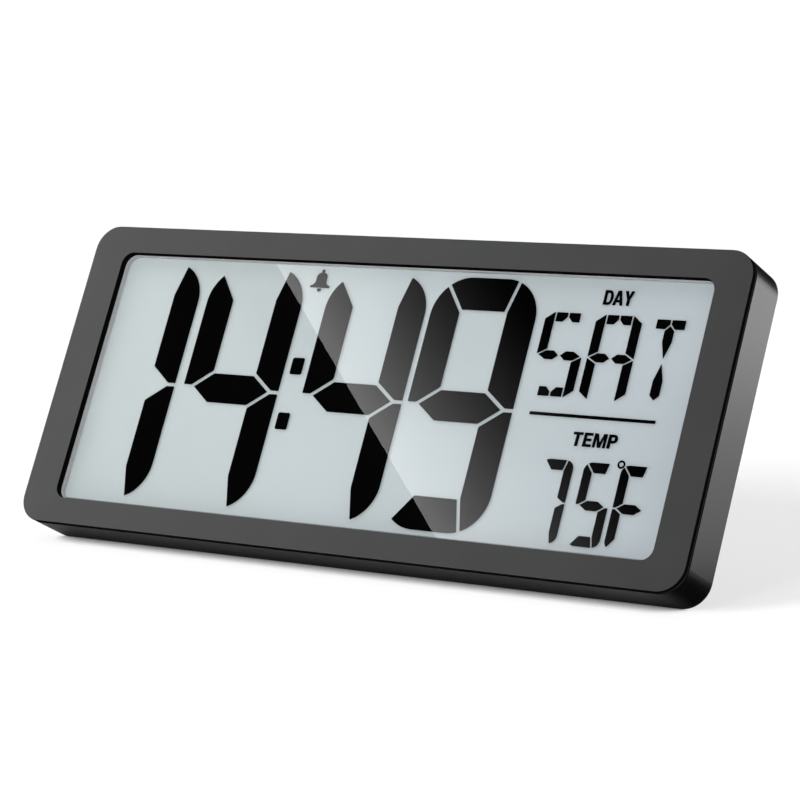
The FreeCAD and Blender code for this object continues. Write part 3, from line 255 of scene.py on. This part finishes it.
def metal(name, colour, rough):
    """Plated metal with fine brushing."""
    t = Tree(name)
    spot = t.local()
    brushed = t.noise(t.vector("MULTIPLY", spot, (2.5, 0.2, 0.2)), 3.0, 4.0, 0.6)
    return t.principled(Base_Color=clouded(t, spot, colour, 0.08, 0.4), Metallic=1.0,
                        Roughness=t.spread(brushed, rough - 0.08, rough + 0.08),
                        Normal=t.bump(brushed, 0.2, GRAIN_DEPTH))


def beyond(tree, x, z, half_x, half_z, radius):
    """How far a place lies outside a rounded rectangle about the middle of the face."""
    squares = []
    for spot, half in ((x, half_x), (z, half_z)):
        away = tree.math("SUBTRACT", tree.math("ABSOLUTE", spot), half - radius)
        over = tree.math("MAXIMUM", away, 0.0)
        squares.append(tree.math("MULTIPLY", over, over))
    return tree.math("SUBTRACT", tree.math("SQRT", tree.math("ADD", *squares)), radius)


# Materials that show in the photograph
def bezel_material():
    """Charcoal face that darkens towards the right, painted shade. The window's wall, the outer part of
    the face's rounded edge and everything behind it are painted dark, painted shade, and mirror
    nothing.
    """
    t = Tree("bezel_charcoal")
    spot = t.local()
    x, y, z = t.axes(spot)
    # Painted shade: the window's inner wall, the rim's outer part and the gap behind the face turn dark
    # and mirror nothing
    wall = t.math("LESS_THAN", beyond(t, x, z, WINDOW_X, WINDOW_Z, WINDOW_R), WALL_SKIN)
    rim = t.math("GREATER_THAN", beyond(t, x, z, WIDTH / 2, HEIGHT / 2, CORNER_R), -RIM_SKIN)
    rim_shade = t.math("MULTIPLY", rim, t.math("GREATER_THAN", y, RIM_DEPTH))
    behind = t.math("MAXIMUM", rim_shade, t.math("GREATER_THAN", y, BEZEL_BACK))
    painted_shade = t.math("MAXIMUM", wall, behind)
    fine = t.noise(spot, 2.2, 3.0, 0.6)
    # Painted shade: the face's colour darkens from left to right
    side = t.remap(x, -WIDTH / 2, WIDTH / 2, 0.0, 1.0)
    face = clouded(t, spot, t.mix(side, BEZEL_LIT_LEFT, BEZEL_SHADED_RIGHT), 0.04)
    return t.principled(Base_Color=t.mix(painted_shade, face, BEZEL_PAINTED_SHADE),
                        Roughness=t.spread(fine, 0.52, 0.62),
                        Specular_IOR_Level=t.remap(painted_shade, 0.0, 1.0, 0.45, 0.0),
                        Normal=t.bump(fine, 0.35, GRAIN_DEPTH))


def housing_material():
    """Black satin shell, a little coarser on its back than on its sides. Its sides are painted darker,
    painted shade, and its back paler, painted light.
    """
    t = Tree("housing_black")
    spot = t.local()
    x, y, z = t.axes(spot)
    outside = beyond(t, x, z, WIDTH / 2, HEIGHT / 2, CORNER_R)
    back = t.remap(outside, -BACK_FROM, -BACK_TO, 1.0, 0.0)
    fine = t.noise(spot, 1.8, 3.0, 0.6)
    gloss = t.math("ADD", t.spread(fine, 0.33, 0.41), t.math("MULTIPLY", back, 0.17))
    relief = t.bump(fine, t.remap(back, 0.0, 1.0, 0.25, 0.8), 1.5 * GRAIN_DEPTH)
    # Painted shade on the sides and painted light on the back
    colour = clouded(t, spot, t.mix(back, HOUSING_SIDE_SHADED, HOUSING_BACK_LIT), 0.06)
    return t.principled(Base_Color=colour, Roughness=gloss, Specular_IOR_Level=0.36, Normal=relief)


def lens_material():
    """Clear acrylic: only its front face mirrors, so that one clean reflection lies on the display."""
    t = Tree("lens_acrylic")
    spot = t.local()
    front = t.math("LESS_THAN", t.axes(spot)[1], LENS_Y + LENS_SKIN)
    film = t.noise(spot, 0.02)
    share = t.math("MULTIPLY", t.node("ShaderNodeFresnel", IOR=ACRYLIC_IOR), front)
    clear = t.node("ShaderNodeBsdfTransparent", Color=t.scaled(LENS_TINT, t.spread(film, 0.99, 1.0)))
    mirror = t.node("ShaderNodeBsdfGlossy", Color=WHITE, Roughness=0.001)
    return t.show(t.blend(share, clear, mirror))


def cell_material():
    """Thin glass of the display, with a faint cool tint."""
    t = Tree("cell_glass")
    film = t.noise(t.local(), 0.015)
    clear = t.node("ShaderNodeBsdfTransparent", Color=t.scaled(CELL_TINT, t.spread(film, 0.99, 1.0)))
    mirror = t.node("ShaderNodeBsdfGlossy", Color=WHITE, Roughness=0.05)
    return t.show(t.blend(t.spread(film, 0.0004, 0.0007), clear, mirror))


def reflector_material():
    """Pale satin film behind the figures, painted cooler and darker towards the right: painted shade.
    """
    t = Tree("reflector_film")
    spot = t.local()
    fine = t.noise(spot, 3.0)
    # Painted shade: darker towards the right
    side = t.remap(t.axes(spot)[0], -WINDOW_X, WINDOW_X, 0.0, 1.0)
    colour = t.mix(side, REFLECTOR_LIT_LEFT, REFLECTOR_SHADED_RIGHT)
    cloud = t.noise(spot, 0.012)
    return t.principled(Base_Color=t.scaled(colour, t.spread(cloud, 0.985, 1.015)),
                        Roughness=t.spread(fine, 0.62, 0.7), Specular_IOR_Level=0.2)


def board_material():
    """Green solder mask over paler copper tracks."""
    t = Tree("board_green")
    spot = t.local()
    bend = t.math("MULTIPLY", t.noise(spot, 0.05, 0.0), 14.0)
    run = t.math("SINE", t.math("MULTIPLY", t.math("ADD", t.axes(spot)[2], bend), 2.6))
    track = t.remap(run, 0.55, 0.75, 0.0, 1.0)
    return t.principled(Base_Color=t.mix(track, MASK_GREEN, TRACK_GREEN),
                        Roughness=t.remap(track, 0.0, 1.0, 0.32, 0.26),
                        Normal=t.bump(track, 0.3, 3 * GRAIN_DEPTH))


def battery_material():
    """Plain sleeve in two tones, without any print, and bare steel ends."""
    t = Tree("battery_sleeve")
    spot = t.local()
    along = t.math("ABSOLUTE", t.math("SUBTRACT", t.axes(spot)[0], BAY_X))
    end = t.math("GREATER_THAN", along, SLEEVE_END)
    sleeve = t.mix(t.math("GREATER_THAN", along, SLEEVE_BAND), SLEEVE_DARK, SLEEVE_GOLD)
    return t.principled(Base_Color=t.mix(end, sleeve, CELL_STEEL), Metallic=end,
                        Roughness=t.spread(t.noise(spot, 0.6), 0.22, 0.34))


MATERIALS = {
    "bezel": bezel_material(),
    "housing": housing_material(),
    "lens": lens_material(),
    "cell_glass": cell_material(),
    "reflector": reflector_material(),
    "tape": plastic("tape_black", (0.006, 0.006, 0.006), 0.8, 0.8, 0.00004, 0.2),
    "light_frame": plastic("frame_grey", (0.56, 0.57, 0.58), 0.5, 1.5),
    "seal": plastic("seal_epoxy", (0.30, 0.30, 0.30), 0.5, 1.0),
    "segment": plastic("segment_black", (0.0008, 0.0008, 0.001), 0.6, 1.0,
                       specular=0.0, spread=0.03),
    "holder": plastic("holder_white", (0.62, 0.62, 0.61), 0.45, 1.2),
    "zebra": plastic("zebra_rubber", (0.20, 0.24, 0.30), 0.7, 2.0),
    "resin": plastic("chip_resin", (0.008, 0.008, 0.008), 0.15, 0.5, specular=0.6),
    "tin": metal("can_tin", (0.62, 0.62, 0.60), 0.25),
    "capacitor": plastic("capacitor_sleeve", (0.035, 0.06, 0.17), 0.35, 0.8),
    "switch_black": plastic("switch_black", (0.015, 0.015, 0.015), 0.5, 1.5),
    "steel": metal("screw_zinc", (0.55, 0.55, 0.56), 0.3),
    "dark_steel": metal("screw_black", (0.055, 0.055, 0.06), 0.35),
    "nickel": metal("contact_nickel", (0.60, 0.57, 0.50), 0.28),
    "lead": plastic("lead_red", (0.42, 0.02, 0.02), 0.4, 1.0),
    "control": plastic("control_rubber", (0.075, 0.075, 0.078), 0.6, 2.4, 0.00002, 0.35),
    "rubber": plastic("foot_rubber", (0.014, 0.014, 0.014), 0.75, 2.4, 0.00003, 0.25),
    "print": plastic("print_grey", (0.52, 0.53, 0.54), 0.55, 2.0, specular=0.3),
    "board": board_material(),
    "battery_wrap": battery_material(),
}

WEARS = {
    "bezel": ["front_bezel"],
    "housing": ["rear_housing", "battery_door", "stand"],
    "tape": ["lens_tape"],
    "lens": ["front_lens"],
    "light_frame": ["display_frame"],
    "cell_glass": ["lcd_front_glass", "lcd_rear_glass"],
    "seal": ["lcd_seal"],
    "segment": ["hour_digits", "minute_digits", "colon_dots", "alarm_bell", "rule_line",
                "day_letters", "temperature_digits", "degree_ring"],
    "reflector": ["lcd_reflector"],
    "holder": ["lcd_holder"],
    "zebra": ["zebra_strips"],
    "board": ["main_board"],
    "resin": ["clock_chip"],
    "tin": ["quartz_crystal"],
    "capacitor": ["capacitors"],
    "switch_black": ["tact_switches", "slide_switch", "buzzer", "thermistor"],
    "steel": ["board_screws", "holder_screws", "stand_pin"],
    "dark_steel": ["case_screws"],
    "battery_wrap": ["battery_cells"],
    "nickel": ["battery_contacts"],
    "lead": ["battery_leads"],
    "control": ["alarm_knob"] + [n for n in NODES if n.endswith("_button")],
    "rubber": ["stand_foot"] + [n for n in NODES if n.endswith("_plunger")],
}
for worn, names in WEARS.items():
    for name in names:
        for holder in NODES[name].material_slots:
            holder.link = "OBJECT"
            holder.material = MATERIALS[worn]


# Pieces made here: the panes that lamps shine through, and the lettering
def add_piece(name, mesh, finish):
    """Puts a mesh in the scene as a piece of the case."""
    mesh.materials.clear()
    mesh.materials.append(MATERIALS[finish])
    mesh.update()
    piece = bpy.data.objects.new(name, mesh)
    bpy.context.scene.collection.objects.link(piece)
    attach(piece, "case")
    return piece


def rounded(width, height, radius, cz, steps=8):
    """Corners of a rounded rectangle about (0, cz), anticlockwise as seen from the front."""
    spots = []
    for sx, sz, start in ((1, 1, 0), (-1, 1, 90), (-1, -1, 180), (1, -1, 270)):
        for i in range(steps + 1):
            a = math.radians(start + 90 * i / steps)
            spots.append((sx * (width / 2 - radius) + radius * math.cos(a),
                          cz + sz * (height / 2 - radius) + radius * math.sin(a)))
    return spots


def pane_piece(name, node, height, cz, y0, y1):
    """Glass pane with ground edges, in place of the CAD's and a hair thinner, so no faces coincide."""
    rings = [(GLASS_EDGE, y0), (0.0, y0 + GLASS_EDGE), (0.0, y1 - GLASS_EDGE), (GLASS_EDGE, y1)]
    verts = []
    for inset, y in rings:
        spots = rounded(GLASS_W - 2 * inset, height - 2 * inset, GLASS_R - inset, cz)
        verts += [place(x, y, z) for x, z in spots]
    n = len(verts) // len(rings)
    faces = [tuple(range(n)), tuple(range(4 * n - 1, 3 * n - 1, -1))]
    for first in (0, n, 2 * n):
        for i in range(n):
            j = (i + 1) % n
            faces.append((first + i, first + n + i, first + n + j, first + j))
    mesh = bpy.data.meshes.new(name)
    mesh.from_pydata(verts, [], faces)
    piece = add_piece(name, mesh, "cell_glass")
    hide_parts(node)
    return piece


panes = [
    pane_piece("front_glass_pane", "lcd_front_glass", GLASS_H, 0.0,
               FRONT_GLASS_Y + HAIR, CELL_Y - HAIR),
    pane_piece("rear_glass_pane", "lcd_rear_glass", GLASS_H - LEDGE, LEDGE / 2,
               CELL_Y + CELL_T + HAIR, REFLECTOR_Y - HAIR),
]
for piece in panes + [NODES["front_lens"]]:
    piece.visible_shadow = False
    piece.visible_diffuse = False

# Letters one unit high: the widths of their strokes, then each letter's width and its flat shapes
STEM = 0.26
BAR = 0.20


def bowl(width, low, high, steps=8):
    """Right-hand bow of a D or P, open at the stem."""
    mid = (low + high) / 2
    half = (high - low) / 2
    root = 1.7 * STEM
    reach = width - root
    spots = []
    for rx, rz, turn in ((reach, half, 1), (reach - STEM, half - BAR, -1)):
        for i in range(steps + 1):
            a = math.radians(turn * (180 * i / steps - 90))
            spots.append((root + rx * math.cos(a), mid + rz * math.sin(a)))
    outer = [(STEM, low)] + spots[:steps + 1] + [(STEM, high)]
    inner = [(STEM, high - BAR)] + spots[steps + 1:] + [(STEM, low + BAR)]
    return outer + inner


def box_shape(x0, x1, z0, z1):
    return [(x0, z0), (x1, z0), (x1, z1), (x0, z1)]


LETTERS = {
    "D": (0.80, [box_shape(0, STEM, 0, 1), bowl(0.80, 0, 1)]),
    "A": (0.88, [
        [(0, 0), (0.27, 0), (0.44, 0.70), (0.61, 0), (0.88, 0), (0.59, 1), (0.29, 1)],
        [(0.319, 0.20), (0.561, 0.20), (0.518, 0.38), (0.362, 0.38)],
    ]),
    "Y": (0.82, [
        [(0, 1), (0.28, 0.40), (0.28, 0), (0.54, 0), (0.54, 0.40), (0.82, 1), (0.54, 1),
         (0.41, 0.66), (0.28, 1)],
    ]),
    "T": (0.78, [
        [(0.26, 0), (0.52, 0), (0.52, 1 - BAR), (0.78, 1 - BAR), (0.78, 1), (0, 1), (0, 1 - BAR),
         (0.26, 1 - BAR)],
    ]),
    "E": (0.70, [
        [(0, 0), (0.70, 0), (0.70, BAR), (STEM, BAR), (STEM, 0.41), (0.64, 0.41), (0.64, 0.60),
         (STEM, 0.60), (STEM, 1 - BAR), (0.70, 1 - BAR), (0.70, 1), (0, 1)],
    ]),
    "M": (1.04, [
        [(0, 0), (0.23, 0), (0.23, 0.62), (0.40, 0), (0.64, 0), (0.81, 0.62), (0.81, 0), (1.04, 0),
         (1.04, 1), (0.73, 1), (0.52, 0.38), (0.31, 1), (0, 1)],
    ]),
    "P": (0.76, [box_shape(0, STEM, 0, 1), bowl(0.76, 0.38, 1)]),
}


def sign_word(name, text, box, gap, slant):
    """A bold word between the panes of the display, made of LETTERS to fill box = (x0, x1, z0, z1)."""
    x0, x1, z0, z1 = box
    height = z1 - z0
    shapes = []
    start = 0.0
    for letter in text:
        width, parts = LETTERS[letter]
        shapes += [[(start + x, z) for x, z in part] for part in parts]
        start += width + gap
    stretch = (x1 - x0) / (start - gap)
    verts = []
    faces = []
    for part in shapes:
        first = len(verts)
        n = len(part)
        flat = [(x0 + stretch * x + slant * z * height, z0 + z * height) for x, z in part]
        for y in (CELL_Y, CELL_Y + CELL_T):
            verts += [place(x, y, z) for x, z in flat]
        faces.append(tuple(first + i for i in range(n)))
        faces.append(tuple(first + i for i in range(2 * n - 1, n - 1, -1)))
        for i in range(n):
            j = (i + 1) % n
            faces.append((first + i, first + n + i, first + n + j, first + j))
    mesh = bpy.data.meshes.new(name)
    mesh.from_pydata(verts, [], faces)
    mesh.validate()
    return add_piece(name, mesh, "segment")


sign_word("day_word", "DAY", (105.5, 120.3, 51.1, 58.0), 0.0, 0.0)
sign_word("temp_word", "TEMP", (106.7, 129.0, -13.7, -7.3), 0.10, 0.03)


def rear_word(name, text, box):
    """Label printed on the back of the housing, read from behind. It fills box = (x0, x1, z0, z1)."""
    curve = bpy.data.curves.new(name + "_text", "FONT")
    curve.body = text
    curve.size = 1.0
    curve.extrude = 0.5
    curve.resolution_u = 6
    holder = bpy.data.objects.new(name + "_text", curve)
    bpy.context.scene.collection.objects.link(holder)
    bpy.context.view_layer.update()
    depsgraph = bpy.context.evaluated_depsgraph_get()
    mesh = bpy.data.meshes.new_from_object(holder.evaluated_get(depsgraph))
    bpy.data.objects.remove(holder)
    bpy.data.curves.remove(curve)
    xs = [v.co.x for v in mesh.vertices]
    ys = [v.co.y for v in mesh.vertices]
    left, right = min(xs), max(xs)
    low, high = min(ys), max(ys)
    x0, x1, z0, z1 = box
    for v in mesh.vertices:
        u = 1 - (v.co.x - left) / (right - left)
        w = (v.co.y - low) / (high - low)
        y = PRINT_FACE if v.co.z > 0 else PRINT_ROOT
        v.co = place(x0 + (x1 - x0) * u, y, z0 + (z1 - z0) * w)
    return add_piece(name, mesh, "print")


for label, x in zip(("SET", "UP", "DOWN", "MODE", "SNOOZE"), BUTTON_XS):
    half = LABEL_HALF * len(label)
    box = (x - half, x + half, BUTTON_Z + LABEL_LOW, BUTTON_Z + LABEL_HIGH)
    rear_word(label.lower() + "_label", label, box)
rear_word("alarm_label", "ALARM", (KNOB_X - 5.8, KNOB_X + 7.8, KNOB_Z + 4.8, KNOB_Z + 7.6))
rear_word("off_label", "OFF", (KNOB_X - 11.0, KNOB_X - 4.8, KNOB_Z - 1.2, KNOB_Z + 1.2))
rear_word("on_label", "ON", (KNOB_X + 8.6, KNOB_X + 13.2, KNOB_Z - 1.2, KNOB_Z + 1.2))


# Floor, light and camera
def floor_material():
    """White floor that keeps the shadow. Light of its own, for the camera alone, keeps it white.

    Mirror-like rays see painted reflections on it: darker under the clock and beside its right end,
    and a glowing pool at the right rear. A painted contact shadow darkens it near the clock.
    Lengths are in metres.
    """
    t = Tree("floor_white")
    spot = t.node("ShaderNodeTexCoord", output="Object")
    cloud = t.noise(spot, 0.5)
    # Painted contact shadow: the floor's colour and its own light darken where the AO node finds the
    # clock close by
    open_sky = t.node("ShaderNodeAmbientOcclusion", output="AO", settings={"samples": 16},
                      Distance=CONTACT_REACH)
    painted_contact_shadow = t.remap(open_sky, 0.03, 0.22, 0.05, 1.0)
    to_camera = t.node("ShaderNodeLightPath", output="Is Camera Ray")
    pale = t.remap(to_camera, 0.0, 1.0, FLOOR_BOUNCE, FLOOR_PALE)
    colour = t.scaled(WHITE, t.math("MULTIPLY", pale, t.spread(cloud, 0.995, 1.005)))
    matte = t.node("ShaderNodeBsdfDiffuse", Color=t.scaled(colour, painted_contact_shadow))
    lift = t.glow(t.math("MULTIPLY", t.math("MULTIPLY", to_camera, painted_contact_shadow), FLOOR_LIFT))
    shown = t.node("ShaderNodeAddShader", i0=matte, i1=lift)
    # Painted reflections: mirror-like rays see dark patches beside and under the clock and a bright
    # glowing pool at the right rear
    x, y, z = t.axes(spot)
    near = t.remap(t.math("ABSOLUTE", y), 0.04, 0.08, 1.0, 0.0)
    beside = t.math("MULTIPLY", t.remap(x, 0.15, 0.175, 0.0, 1.0), near)
    flag = t.math("MULTIPLY", beside, t.remap(x, 0.26, 0.36, 1.0, 0.0))
    behind = t.math("MULTIPLY", t.remap(x, 0.19, 0.23, 0.0, 1.0), t.remap(y, 0.0, 0.05, 0.0, 1.0))
    pool = t.math("MULTIPLY", behind, t.remap(x, 0.6, 0.9, 1.0, 0.0))
    strip = t.math("MULTIPLY", near, t.remap(x, 0.10, 0.17, 0.35, 0.0))
    region = t.math("MAXIMUM", strip, t.math("MAXIMUM", flag, pool))
    painted_reflection = t.math("MULTIPLY", region, t.node("ShaderNodeLightPath", output="Is Glossy Ray"))
    reflection_glow = t.glow(t.math("ADD", PATCH_LIGHT, t.math("MULTIPLY", pool, POOL_LIGHT)))
    return t.show(t.blend(painted_reflection, shown, reflection_glow))


corners = [(-FLOOR_SPAN, -FLOOR_SPAN, 0), (FLOOR_SPAN, -FLOOR_SPAN, 0), (FLOOR_SPAN, FLOOR_SPAN, 0),
           (-FLOOR_SPAN, FLOOR_SPAN, 0)]
mesh = bpy.data.meshes.new("floor")
mesh.from_pydata(corners, [], [(0, 1, 2, 3)])
floor = bpy.data.objects.new("floor", mesh)
bpy.context.scene.collection.objects.link(floor)
mesh.materials.append(floor_material())


def build_world():
    """Soft sky that lights the clock. Mirror-like rays see it nearly dark, and the camera white."""
    world = bpy.data.worlds.new("studio")
    bpy.context.scene.world = world
    world.use_nodes = True
    nodes = world.node_tree.nodes
    links = world.node_tree.links
    nodes.clear()
    out = nodes.new("ShaderNodeOutputWorld")
    ray = nodes.new("ShaderNodeLightPath")

    def sky(colour, strength):
        made = nodes.new("ShaderNodeBackground")
        made.inputs[0].default_value = (*colour, 1.0)
        made.inputs[1].default_value = strength
        return made.outputs[0]

    def pick(kind, other, own):
        made = nodes.new("ShaderNodeMixShader")
        links.new(ray.outputs[kind], made.inputs[0])
        links.new(other, made.inputs[1])
        links.new(own, made.inputs[2])
        return made.outputs[0]

    unseen = pick("Is Glossy Ray", sky(SKY_TINT, SKY_LIGHT), sky(WHITE, SKY_MIRRORED))
    links.new(pick("Is Camera Ray", unseen, sky(WHITE, SKY_SEEN)), out.inputs[0])


build_world()


def softbox(name, spot, aim, width, height, power):
    """A lamp that only mirror-like faces see."""
    light = bpy.data.lights.new(name, "AREA")
    light.shape = "RECTANGLE"
    light.size = width
    light.size_y = height
    light.energy = power
    lamp = bpy.data.objects.new(name, light)
    lamp.location = spot
    lamp.rotation_euler = (Vector(aim) - Vector(spot)).to_track_quat("-Z", "Y").to_euler()
    lamp.visible_camera = False
    lamp.visible_diffuse = False
    bpy.context.scene.collection.objects.link(lamp)


def sunlight(name, toward, strength, spread, shadow=True):
    """Parallel light from the direction toward. It doesn't show in mirror-like faces."""
    light = bpy.data.lights.new(name, "SUN")
    light.energy = strength
    light.angle = math.radians(spread)
    light.use_shadow = shadow
    lamp = bpy.data.objects.new(name, light)
    lamp.rotation_euler = (-Vector(toward)).to_track_quat("-Z", "Y").to_euler()
    lamp.visible_glossy = False
    bpy.context.scene.collection.objects.link(lamp)
    return lamp


def link_floor(lamp, state):
    """Lets a lamp light the floor alone, or everything except the floor."""
    group = bpy.data.collections.new(lamp.name + "_floor")
    group.objects.link(floor)
    group.collection_objects[0].light_linking.link_state = state
    lamp.light_linking.receiver_collection = group


link_floor(sunlight("window", (-0.30, -0.62, 0.72), 0.38, 34.0, shadow=False), "EXCLUDE")
link_floor(sunlight("low", (-0.38, -0.87, 0.33), 5.7, 22.0), "INCLUDE")
sunlight("fill", (0.0, -0.90, 0.43), 1.18, 20.0, shadow=False)
softbox("side", (0.498, 0.509, 0.10), (0.18, 0.0, 0.10), 0.36, 0.15, 0.80)
link_floor(sunlight("rear", (-0.30, 0.93, 0.20), 2.4, 40.0), "EXCLUDE")
softbox("left_rear", (-0.70, 0.68, 0.16), (-0.17, -0.03, 0.02), 0.5, 0.32, 0.9)


def glare_card():
    """A white card in front to the left. Only mirroring faces see it, and its edge crosses the lens."""
    along = (CARD_LOW - CARD_HIGH).normalized()
    away = Vector((-along.z, 0.0, along.x))
    if away.x < 0:
        away = -away
    start = CARD_HIGH - along * CARD_OVERRUN
    end = CARD_LOW + along * CARD_OVERRUN
    verts = [start, end, end + away * CARD_REACH, start + away * CARD_REACH]
    mesh = bpy.data.meshes.new("glare_card")
    mesh.from_pydata([place(*v) for v in verts], [], [(0, 1, 2, 3)])
    reach = mesh.uv_layers.new(name="reach")
    for i, value in enumerate(((0, 0), (0, 1), (1, 1), (1, 0))):
        reach.data[i].uv = value
    card = bpy.data.objects.new("glare_card", mesh)
    bpy.context.scene.collection.objects.link(card)
    t = Tree("card_light")
    across = t.axes(t.node("ShaderNodeTexCoord", output="UV"))[0]
    fade = t.math("POWER", t.math("SUBTRACT", 1.0, across), CARD_FALL)
    t.show(t.glow(t.math("MULTIPLY", fade, CARD_LIGHT)))
    mesh.materials.append(t.material)
    card.visible_camera = False
    card.visible_diffuse = False
    card.visible_transmission = False
    card.visible_volume_scatter = False
    card.visible_shadow = False


glare_card()

camera_data = bpy.data.cameras.new("camera")
camera_data.sensor_width = SENSOR_MM
camera_data.lens = LENS_MM
camera = bpy.data.objects.new("camera", camera_data)
turn = Matrix((RIGHT, RIGHT.cross(AHEAD), -AHEAD)).transposed()
camera.matrix_world = Matrix.Translation(EYE - SHIFT) @ turn.to_4x4()
bpy.context.scene.collection.objects.link(camera)
bpy.context.scene.camera = camera
bpy.context.scene.view_settings.view_transform = "Standard"
